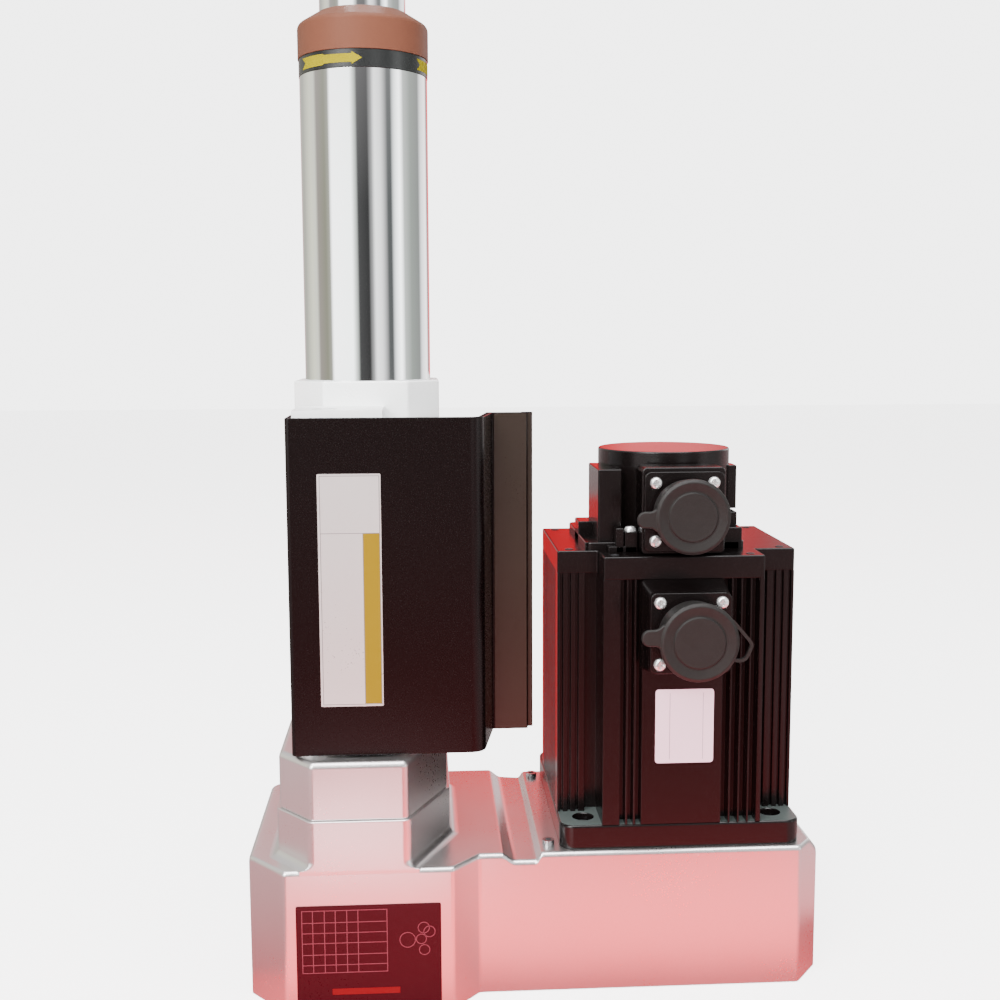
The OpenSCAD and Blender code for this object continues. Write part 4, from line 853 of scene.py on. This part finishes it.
turned_piece("collar", [p for p, r in COLLAR_PROFILE], LAMINATE, ["nose_collar"], 128,
             [r for p, r in COLLAR_PROFILE])

# %% [markdown]
# The arrows are printed on the band and show which way the spindle turns. They could be a picture, but
# a printed shape with a sharp edge stays sharp as a mesh. Each is a thin strip above and one below
# its middle line, bent on to the band: length along the arrow becomes an angle round it.

# %% Direction arrows
ARROW_STARTS, ARROW_R, PRINT_T = (-63.5, 56.5, 176.5), BARREL_R + 0.26, 0.12
ARROW_X = np.array([0.0, 1.7, 3.4, 8.0, 13.0, 17.5, 18.6, 22.0, 26.0, 30.0, 34.4, 34.45, 37.0, 39.8])
OUTER_EDGE = np.array([2.9, 2.9, 2.9, 2.9, 2.9, 2.9, 2.2, 2.2, 2.2, 2.2, 2.2, 3.2, 1.65, 0.05])
INNER_EDGE = np.concatenate([[2.85, 1.45], np.zeros(len(ARROW_X) - 2)])


def arrow_half(start, sign):
    """The half of an arrow above or below its middle line, as cuts across it.

    Each cut is a rectangle between the inner and the outer edge, from the band's face to the print's.
    """
    angle = np.radians(start - 90) + ARROW_X / ARROW_R
    lines = []
    for edge, lift in ((INNER_EDGE, 0.0), (OUTER_EDGE, 0.0), (OUTER_EDGE, PRINT_T), (INNER_EDGE, PRINT_T)):
        r, z = ARROW_R + lift, sign * edge + (BAND_Z + NOSE_Z) / 2
        lines.append(np.stack([r * np.cos(angle), r * np.sin(angle), z], axis=1))
    return np.stack(lines, axis=1)


halves = [[arrow_half(start, sign)] for start in ARROW_STARTS for sign in (1.0, -1.0)]
piece("band_arrows", halves, YELLOW, "housing", angle=40)

# %% [markdown]
# ## Motor flange
# The square flange has rounded corners, an eased rim and four counterbored holes. Each hole is a
# stack of circles that narrows at the bolt's seat. The face on top is painted paler than the sides,
# as a painted highlight of the light that it catches.

# %% Flange
MOTOR_AT = (166.0, -15.0, 0.0)
FLANGE_Z, BODY_Z, BELL_Z, BELL_TOP = 76.5, 89.5, 222.0, 234.0
HOLE_AT = 145 / 2 * math.sin(math.pi / 4)
FLANGE_HALF, FLANGE_R, HOLE_R, SEAT = 65.0, 8.0, 5.5, 9.5
CORNERS = [(sx, sy) for sx in (-1, 1) for sy in (-1, 1)]
HOLE_LEVELS = [(2.2, FLANGE_Z + 0.05), (2.2, BODY_Z - SEAT), (0, BODY_Z - SEAT), (0, BODY_Z - 0.4), (-0.4, BODY_Z)]
square = box_outline(-FLANGE_HALF, -FLANGE_HALF, FLANGE_HALF, FLANGE_HALF, FLANGE_R, 8)
flange = stack(square, edges(FLANGE_Z + 0.05, BODY_Z, 0.5, 1.4, 5))
holes = [stack(circle(HOLE_R, 40, (sx * HOLE_AT, sy * HOLE_AT)), HOLE_LEVELS) for sx, sy in CORNERS]
made = piece("flange", [[flange] + holes], MOTOR, "housing", ["motor_flange"], move=MOTOR_AT, angle=30)
# The faces on top get the paler finish, a painted highlight.
top_material(made, FLANGE_TOP_HIGHLIGHT, BODY_Z - 1.5)

# %% [markdown]
# ## Finned motor body
# The body is an extrusion whose section is a plus with cooling slots. Slots could be cut by an array of
# boxes, which is slow and leaves slivers. Here an edge with slots is a row of points that steps in
# and out.

# %% Slotted edge


def slotted_edge(start, end, slots):
    """Points from start up to end, stepping in at each slot given as place, width and depth.

    Place is measured along the edge from its middle, and the inside lies to the left of the way.
    """
    start, end = np.asarray(start, float), np.asarray(end, float)
    along = (end - start) / np.linalg.norm(end - start)
    inward = np.array([-along[1], along[0]])
    middle = (start + end) / 2
    points = [start]
    for at, width, depth in slots:
        a, b = middle + along * at, middle + along * (at + width)
        points += [a, a + inward * depth, b + inward * depth, b]
    return points


print("points of an edge with one slot:", len(slotted_edge((0, 0), (10, 0), [(0, 2, 1)])))

# %% [markdown]
# Half of the section is walked once: the front panel with its slots, the gap at the corner, the small
# block, the side with its fourteen slots, and the block and the gap again. The other half is the same
# points turned by 180 degrees, since both halves of the real body are alike.

# %% Motor body
PANEL, PANEL_Y, SIDE, SIDE_Y, GAP, GAP_DEEP = 42.6, 65.0, 64.5, 43.0, 6.9, 6.0
front_slots = [(-33.4 + 4.2 * i, 3.0, 8.0) for i in range(3)] + [(21.0 + 5.0 * i, 4.0, 9.0) for i in range(4)]
side_slots = [(-34.5 + 5.0 * i, 2.6, 6.0) for i in range(14)]
block_mid = (PANEL + GAP + SIDE) / 2
block_slots = [(53.0 + 4.2 * i - block_mid, 1.5, 3.0) for i in range(3)]
back_slots = [(-(s + w), w, d) for s, w, d in reversed(block_slots)]
half_section = (
    slotted_edge((-PANEL, -PANEL_Y), (PANEL, -PANEL_Y), front_slots)
    + [(PANEL, -PANEL_Y), (PANEL, -SIDE_Y + GAP_DEEP), (PANEL + GAP, -SIDE_Y + GAP_DEEP)]
    + slotted_edge((PANEL + GAP, -SIDE_Y), (SIDE, -SIDE_Y), block_slots)
    + slotted_edge((SIDE, -SIDE_Y), (SIDE, SIDE_Y), side_slots)
    + slotted_edge((SIDE, SIDE_Y), (PANEL + GAP, SIDE_Y), back_slots)
    + [(PANEL + GAP, SIDE_Y), (PANEL + GAP, SIDE_Y - GAP_DEEP), (PANEL, SIDE_Y - GAP_DEEP)])
half_section = np.array([np.asarray(p, float) for p in half_section])
section = np.concatenate([half_section, -half_section])
body_rings = stack(rounded(section, 0.35, 2), [(0, BODY_Z + 0.02), (0, BELL_Z - 0.25), (0.3, BELL_Z - 0.02)])
piece("finned_body", [[body_rings]], MOTOR, "housing", ["motor_body"], move=MOTOR_AT, angle=30)

# %% [markdown]
# ## End bell
# The end bell closes the motor with the same plus outline. It could be a slice of the body, but the
# slots end below it, so it gets a plain outline with an eased rim.

# %% End bell
PLUS = [(-PANEL, -PANEL_Y), (PANEL, -PANEL_Y), (PANEL, -SIDE_Y), (SIDE, -SIDE_Y), (SIDE, SIDE_Y), (PANEL, SIDE_Y),
        (PANEL, PANEL_Y), (-PANEL, PANEL_Y), (-PANEL, SIDE_Y), (-SIDE, SIDE_Y), (-SIDE, -SIDE_Y), (-PANEL, -SIDE_Y)]
bell = stack(rounded(PLUS, 1.0, 4), edges(BELL_Z, BELL_TOP, 0.3, 0.9, 4))
piece("bell", [[bell]], MOTOR, "housing", ["end_bell"], move=MOTOR_AT, angle=30)

# %% [markdown]
# ## Encoder housing
# The round housing stands on the bell with its cable block, its rib and a stepped foot plate. They are
# cast in one, so the blocks are rounded boxes that run into the drum, each given by its corners.

# %% Encoder housing
ENCODER_R, ENCODER_H, PAD = 36.75, 52.0, 41.0
drum = stack(circle(ENCODER_R, 96), edges(BELL_TOP, BELL_TOP + ENCODER_H, 0.1, 0.9, 5))
# Left, front, right and back, then the heights above the bell, then the corner radius
blocks = [(-42, -38, -29, 3.5, 0, 43, 1.0), (-49, -8, -35, 10, 0, 11, 1.0), (30, -12, 39.5, 2, 18, 42.3, 1.0),
          (-49, -PAD, 37.5, PAD, 0, 4, 3.5), (23, -PAD, 36, -11, 0, 11.4, 1.0), (23, -30, 35.7, -10, 0, 18.4, 1.0),
          (-19, -PAD, 19, -27, 0, 43, 1.0)]
solids = [[stack(box_outline(x0, y0, x1, y1, r), edges(BELL_TOP + z0, BELL_TOP + z1, 0.1, 0.7))]
          for x0, y0, x1, y1, z0, z1, r in blocks]
piece("encoder", [[drum]] + solids, MOTOR, "housing", ["encoder_housing"], move=MOTOR_AT, angle=30)


# %% [markdown]
# Eight small screws hold the bell, and a clip for the motor's leads stands in front of the encoder.
# A head is a stack of circles that goes up its side, over its rim and down into the socket, so one
# shell makes both.

# %% Bell screws and lead clip
HEAD_R, HEAD_RISE, SOCKET_REACH = 2.3, 0.3, 1.2


def screw_head(x, y, z):
    """A low round head with a round socket."""
    inner, top = HEAD_R - SOCKET_REACH, z + HEAD_RISE
    levels = [(0, z - 0.2), (0, z + HEAD_RISE * 0.6), (0.3, top), (inner, top), (inner + 0.1, z + 0.1)]
    return stack(circle(HEAD_R, 24, (x, y)), levels)


places = [(sx * x, sy * y) for x, y in ((57.5, 36.8), (36.0, 58.8)) for sx, sy in CORNERS]
small_heads = [[screw_head(x, y, BELL_TOP)] for x, y in places]
piece("bell_screws", small_heads, OXIDE, "housing", move=MOTOR_AT)
clip = [[stack(box_outline(-34, -49.6, -29.6, -41.4, 0.6), edges(BELL_TOP, BELL_TOP + 12.8, 0.1, 0.7))],
        [stack(box_outline(-29.2, -49.6, -22.3, -41.3, 0.6), edges(BELL_TOP, BELL_TOP + 10.8, 0.1, 0.5))],
        [stack(box_outline(-38, -49.6, -22.4, -41.4, 0.6), edges(BELL_TOP, BELL_TOP + 3, 0.1, 0.4))]]
piece("clip", clip, MOTOR, "housing", ["lead_clip"], move=MOTOR_AT)

# %% [markdown]
# ## Connector boxes and sockets
# Two square-flanged sockets face the front. The lower one stands on a box whose top slopes down to
# the flange. A cube could be pulled into that shape by hand. A loft from a large outline on the motor
# to a smaller one at the flange gives it by numbers. All of this is drawn in X and Z, and a ring's
# level is its distance in front of the spindle axis.

# %% Connector boxes
POWER_Z, ENCODER_Z = 197.0, 257.0
PANEL_FACE, POWER_FACE, ENCODER_FACE, SOCKET_W, SOCKET_T = 80.0, 95.0, 75.0, 42.0, 3.0
FRONT_AT = (MOTOR_AT[0], 0.0, 0.0)
wide = box_outline(-23.5, 174.2, 21.6, 221.9, 2.5, 4)[0]
slim = box_outline(-21.2, 176.2, 21.0, 218.0, 2.5, 4)[0]
t = np.array([0.0, 0.3, 1.0])[:, None, None]
loft = wide[None] * (1 - t) + slim[None] * t
depth = np.array([PANEL_FACE, PANEL_FACE + 5, POWER_FACE])[:, None, None]
rings = np.concatenate([loft, np.broadcast_to(depth, loft.shape[:2] + (1,))], axis=2)
piece("power_box_shell", [[facing(rings)]], MOTOR, "housing", ["power_box"], move=FRONT_AT, angle=30)
block = stack(box_outline(-22, BELL_TOP + 0.2, 22, ENCODER_Z + 23, 2.5, 4), edges(56.2, ENCODER_FACE, 0.1, 0.8))
piece("encoder_box_shell", [[facing(block)]], MOTOR, "housing", ["encoder_box"], move=FRONT_AT,
      angle=30)

# %% [markdown]
# A socket is a square flange and a round shell with an open mouth, which its rubber cap covers. The
# shell is half a section with a floor, revolved about the socket's own axis.

# %% Sockets
SHELL_R, MOUTH_R, SHELL_LONG = 16.2, 14.0, 19.5


def socket_piece(name, node, face, z):
    """A square flange with rounded corners and the round shell that the cap covers."""
    half, mouth = SOCKET_W / 2, face + SOCKET_T + SHELL_LONG
    square = stack(box_outline(-half, z - half, half, z + half, 3.5, 5), edges(face, face + SOCKET_T, 0.1, 0.5))
    tube = [(SHELL_R, face + 2), (SHELL_R, mouth - 0.3), (SHELL_R - 0.4, mouth), (MOUTH_R, mouth),
            (MOUTH_R, face + 6), (0.01, face + 6), (0.01, face + 2)]
    shells = [[facing(square)], [facing(lathe(tube, 64) + np.array([0, z, 0]))]]
    return piece(name, shells, MOTOR, "housing", [node], move=FRONT_AT)


socket_piece("power_socket_shell", "power_socket", POWER_FACE, POWER_Z)
socket_piece("encoder_socket_shell", "encoder_socket", ENCODER_FACE, ENCODER_Z)

# %% [markdown]
# ## Rubber caps
# Each cap is a moulded rubber cup with a rolled rim, a dished face, a pull tab on the left and, on
# the power cap, a thin strap loop on the right. The strap could be a curve with a bevel. A row of
# cuts gives it flat sides and keeps it one closed mesh, like everything else here.

# %% Strap
STRAP = np.array([(16.6, 10.6), (19.5, 7.4), (22.6, 3.6), (25.2, 0.6), (26.4, -1.4), (25.6, -3.4), (24.6, -6.0),
                  (23.2, -8.8), (20.0, -9.6), (17.5, -9.0)])
STRAP_STEPS, STRAP_HALF, STRAP_THICK = 40, 0.8, 1.0


def strap_cuts(level):
    """Cuts along the strap: its middle line smoothed by averaging neighbours, with a rectangle at each point."""
    along = np.linspace(0, len(STRAP) - 1, STRAP_STEPS)
    mid = np.stack([np.interp(along, np.arange(len(STRAP)), STRAP[:, k]) for k in (0, 1)], axis=1)
    for _ in range(6):
        mid[1:-1] = (mid[:-2] + 2 * mid[1:-1] + mid[2:]) / 4
    way = unit(np.gradient(mid, axis=0))
    side = np.stack([way[:, 1], -way[:, 0]], axis=1)
    across = np.array([-STRAP_HALF, STRAP_HALF, STRAP_HALF, -STRAP_HALF])[None, :, None]
    deep = np.array([-STRAP_THICK, -STRAP_THICK, STRAP_THICK, STRAP_THICK])[None, :, None] + level
    flat = mid[:, None, :] + side[:, None, :] * across
    return np.concatenate([flat, np.broadcast_to(deep, flat.shape[:2] + (1,))], axis=2)


print("cuts along the strap:", len(strap_cuts(0.0)))

# %% [markdown]
# A cap could be sculpted from a disc. Its profile is revolved instead: up the outer wall, over the
# rolled rim, across the dished face to the middle, and back along the inside. The tab and the strap
# are shells that run into the cup, as in the mould.

# %% Caps
CAP_INSIDE, CAP_FACE = 16.55, 3.2


def cap_piece(name, node, body, face, z, radius, strap, tab_z):
    """Cup revolved about the socket's axis, with a tab that runs into its rim and an optional strap."""
    foot, end = face + SOCKET_T + 5, face + SOCKET_T + SHELL_LONG + CAP_FACE
    disc, centre = radius * 0.66, np.array([0, z, 0])
    profile = [((CAP_INSIDE, foot), 0.4), ((radius - 1.8, foot), 0.4), ((radius - 1.2, end - 4.6), 0.4),
               ((radius, end - 3.8), 0.9), ((radius, end - 1.2), 0.9), ((radius - 1.6, end), 0.9),
               ((disc + 0.9, end - 0.9), 0.4), ((disc + 0.1, end - 0.95), 0.2), ((disc - 0.5, end - 0.15), 0.5),
               ((0.01, end - 0.35), 0.02), ((0.01, end - 3.0), 0.02), ((CAP_INSIDE, end - 3.0), 0.4)]
    cup = lathe(rounded([p for p, r in profile], [r for p, r in profile], 4)[0], 96)
    tip, root, inside = -radius - 9.0, -radius - 1.5, -radius + 3
    tab, way = rounded([(tip, -4.2), (root, -4.2), (inside, -7.5), (inside, 7.5), (root, 4.2), (tip, 4.2)],
                       [4.0, 3.0, 0.5, 0.5, 3.0, 4.0], 8)
    tab = stack((tab + np.array([0, z + tab_z]), way), edges(end - 3.6, end - 1.0, 0.6, 0.9))
    shells = [[facing(cup + centre)], [facing(tab)]]
    if strap:
        shells.append([facing(strap_cuts(end - 2.2) + centre)])
    return piece(name, shells, RUBBER, body, [node], move=FRONT_AT, angle=40)


cap_piece("power_cap_rubber", "power_cap", "power_cap_unit", POWER_FACE, POWER_Z, 20.0, True, 2.6)
cap_piece("encoder_cap_rubber", "encoder_cap", "encoder_cap_unit", ENCODER_FACE, ENCODER_Z, 19.3, False, -1.2)


# %% [markdown]
# Bright screws with a cross recess hold the sockets. A cross could be cut into a dome with a Boolean.
# Here the rings of the dome change their shape on the way in: the last two are crosses, one at the
# rim of the recess and one at its floor. The lead clip's screw is a plain dome.

# %% Socket screws
DOME = [(3.2, 0.0), (3.2, 0.5), (3.0, 1.2), (2.7, 1.7), (2.3, 2.05), (2.05, 2.17)]
CROSS_LONG, CROSS_HALF = 2.0, 0.55


def pan_head(x, z, face):
    """A domed head with a cross recess.

    Rings of falling radius make the dome. The last two follow a cross, whose distance from the
    centre is the arm's length over the larger of cosine and sine, or its half width over the smaller.
    """
    way = circle(1.0, 64)[1]
    near, far = np.abs(way).min(axis=1), np.abs(way).max(axis=1)
    cross = np.minimum(CROSS_LONG / far, CROSS_HALF / np.maximum(near, 1e-6))
    radii = np.stack([np.full(64, r) for r, _ in DOME] + [cross, cross * 0.8])
    height = np.array([h for _, h in DOME] + [2.2, 0.5])
    rings = way[None] * radii[:, :, None] + np.array([x, z])
    return np.concatenate([rings, np.broadcast_to((face + height)[:, None, None], rings.shape[:2] + (1,))], axis=2)


heads = [[facing(pan_head(sx * apart, z + sz * apart, face + SOCKET_T))]
         for apart, z, face in ((16.0, POWER_Z, POWER_FACE), (15.25, ENCODER_Z, ENCODER_FACE)) for sx, sz in CORNERS]
piece("socket_screw_heads", heads, BRIGHT, "housing", ["socket_screws"], move=FRONT_AT, angle=38)
clip_dome = [(0, BELL_TOP + 10.7), (0, BELL_TOP + 11.6), (0.5, BELL_TOP + 12.7), (1.4, BELL_TOP + 13.3)]
piece("clip_screw", [[stack(circle(3.3, 32, (-25.8, -45.4)), clip_dome)]], BRIGHT, "housing",
      move=MOTOR_AT)

# %% [markdown]
# ## Labels and plates
# The sticker, the chart plate and the nameplate are thin plates with rounded corners. Their fields
# are plain, with coloured bands and ruled lines only. They could be painted on with a picture. As thin
# solids they keep their edges at any distance, and each print stands a little proud of its plate.

# %% Plates


def plates(name, rows, front, thick, radius, material):
    """Thin upright plates as one piece: a row is left, bottom, right and top, and rows may differ in thickness."""
    deep = np.broadcast_to(thick, len(rows))
    shells = [[facing(stack(box_outline(*row, radius), [(0, front), (0, front + d)]))] for row, d in zip(rows, deep)]
    return piece(name, shells, material, "housing")


# %% [markdown]
# The sticker lies on the cover and the nameplate on the motor's front panel. Each line is a thin
# plate too, so one helper makes all of them.

# %% Sticker and nameplate
COVER_FACE, STICKER_FACE, NAMEPLATE_FACE, NAMEPLATE_PRINT = 90.31, 90.46, 80.01, 80.31
STICKER_LINES = [(-21.9, 161.2, -21.6, 279.0), (7.9, 161.2, 8.2, 279.0), (-21.9, 161.2, 8.2, 161.5),
                 (-21.9, 278.7, 8.2, 279.0), (-21.9, 249.6, 8.2, 249.9), (-0.6, 161.2, -0.3, 249.6)]
NAMEPLATE_LINES = [(x, 125.0, x + 0.22, 161.0) for x in (158.9, 176.6)]
plates("sticker_base", [(-23.0, 160.3, 8.8, 279.9)], COVER_FACE, 0.14, 0.6, LABEL)
plates("sticker_amber", [(-0.3, 161.6, 7.9, 249.6)], STICKER_FACE, 0.04, 0.2, AMBER)
plates("sticker_lines", STICKER_LINES, STICKER_FACE, 0.05, 0.1, RULE)
plates("nameplate", [(151.3, 123.0, 182.4, 163.0)], NAMEPLATE_FACE, 0.3, 1.6, PAPER)
plates("nameplate_lines", NAMEPLATE_LINES, NAMEPLATE_PRINT, 0.03, 0.05, RULE)

# %% [markdown]
# The chart plate on the case has a ruled table, a plain bar and five circles. The table's rows and
# columns are two lists of places, and a circle is a thin hoop from the lathe helper.

# %% Chart plate
CHART_FACE, CHART_PRINT, LINE, PRINT_DEEP = 100.04, 100.44, 0.22, 0.05
COLUMNS, ROWS = (-34.5, -29.0, -23.0, -17.4, -11.5, -5.8, 9.1), (55.5, 49.1, 43.5, 38.0, 31.8, 26.2, 22.0)
WHEELS = [(19.6, 38.6, 4.0), (26.7, 38.9, 2.6), (28.3, 33.0, 2.7), (28.0, 45.0, 2.9), (30.9, 42.8, 2.9)]
table = [(x - LINE, ROWS[-1] - LINE, x + LINE, ROWS[0] + LINE) for x in COLUMNS]
table += [(COLUMNS[0] - LINE, z - LINE, COLUMNS[-1] + LINE, z + LINE) for z in ROWS]
table_deep = [PRINT_DEEP - 0.01] * len(COLUMNS) + [PRINT_DEEP] * len(ROWS)


def hoop(x, z, r):
    """A printed circle: a small rectangle revolved about the circle's centre."""
    low, high = CHART_PRINT, CHART_PRINT + PRINT_DEEP
    ring = lathe([(r - LINE, low), (r + LINE, low), (r + LINE, high), (r - LINE, high)], 48)
    return facing(ring + np.array([x, z, 0]))


plates("chart_base", [(-37.6, 4.0, 37.0, 58.0)], CHART_FACE, 0.4, 0.8, CHART)
plates("chart_table", table, CHART_PRINT, table_deep, 0.05, CHART_LINE)
plates("chart_bar", [(-19.5, 9.9, 15.5, 13.2)], CHART_PRINT, PRINT_DEEP, 0.3, CHART_RED)
piece("chart_wheels", [[hoop(x, z, r)] for x, z, r in WHEELS], CHART_LINE, "housing")

# %% [markdown]
# ## Finishes for the parts that stay as the CAD has them
# Screws, bushes, gears, rods and the spindle have their full shape in the CAD model. They could be
# copied and rounded, but they are small or inside, so they only need their finish.

# %% CAD finishes
FINISH_OF = {
    CAST: ["bottom_cover"],
    CHROME: ["quill", "damper_rod"],
    BRONZE: ["guide_bush", "tail_bush"],
    GROUND: ["sleeve_bearings", "spindle_bearings", "idler_bearings", "motor_bearings", "idler_pin", "stop_rod",
             "sensor_dog", "collet"],
    MACHINED: ["case_screws", "quill_piston", "feed_arm", "spindle", "drive_sleeve", "motor_rotor", "spindle_gear",
               "idler_gear", "motor_gear"],
    OXIDE: ["bottom_screws", "cover_screws", "bracket_screws", "stop_nuts", "quill_cap", "collet_nut",
            "motor_screws"],
    MILLED: ["control_bracket", "sensor_rail", "damper_body"],
    PLASTIC: ["speed_knob", "feed_sensors"],
    SEAL: ["wiper_seal", "piston_seal"],
    WINDING: ["motor_stator"],
}
for material, names in FINISH_OF.items():
    for node_name in names:
        mesh = nodes[node_name].data
        mesh.materials.clear()
        mesh.materials.append(material)
print("finished nodes:", sum(len(names) for names in FINISH_OF.values()))

# %% [markdown]
# ## The floor
# A wide pale sheet lies under the gear case. It is part of the studio and not of the unit. The camera
# sees it with a glow, so that it meets the white backdrop without a hard edge, and no other ray does.

# %% Floor
FLOOR_Z, FLOOR_GLOW = -0.0004, 3.35
floor_mesh = bpy.data.meshes.new("floor")
floor_mesh.from_pydata(level_sheet(-WIDE, WIDE, -WIDE, WIDE, FLOOR_Z), [], [(0, 1, 2, 3)])
floor = bpy.data.objects.new("floor", floor_mesh)
bpy.context.scene.collection.objects.link(floor)
pale = finish("pale_floor", (0.86, 0.85, 0.85), 0.55, scale=60, shade=0.01, gloss_change=0.02, bump=0.0)
surface, pale_node = pale.node_tree.nodes["Principled BSDF"], partial(shader_node, pale.node_tree)
surface.inputs["Emission Color"].default_value = WHITE
camera_ray = pale_node("ShaderNodeLightPath").outputs["Is Camera Ray"]
glow = pale_node("ShaderNodeMath", {0: camera_ray, 1: FLOOR_GLOW}, operation="MULTIPLY").outputs[0]
pale.node_tree.links.new(glow, surface.inputs["Emission Strength"])
floor_mesh.materials.append(pale)
print("floor side:", 2 * WIDE, "m")
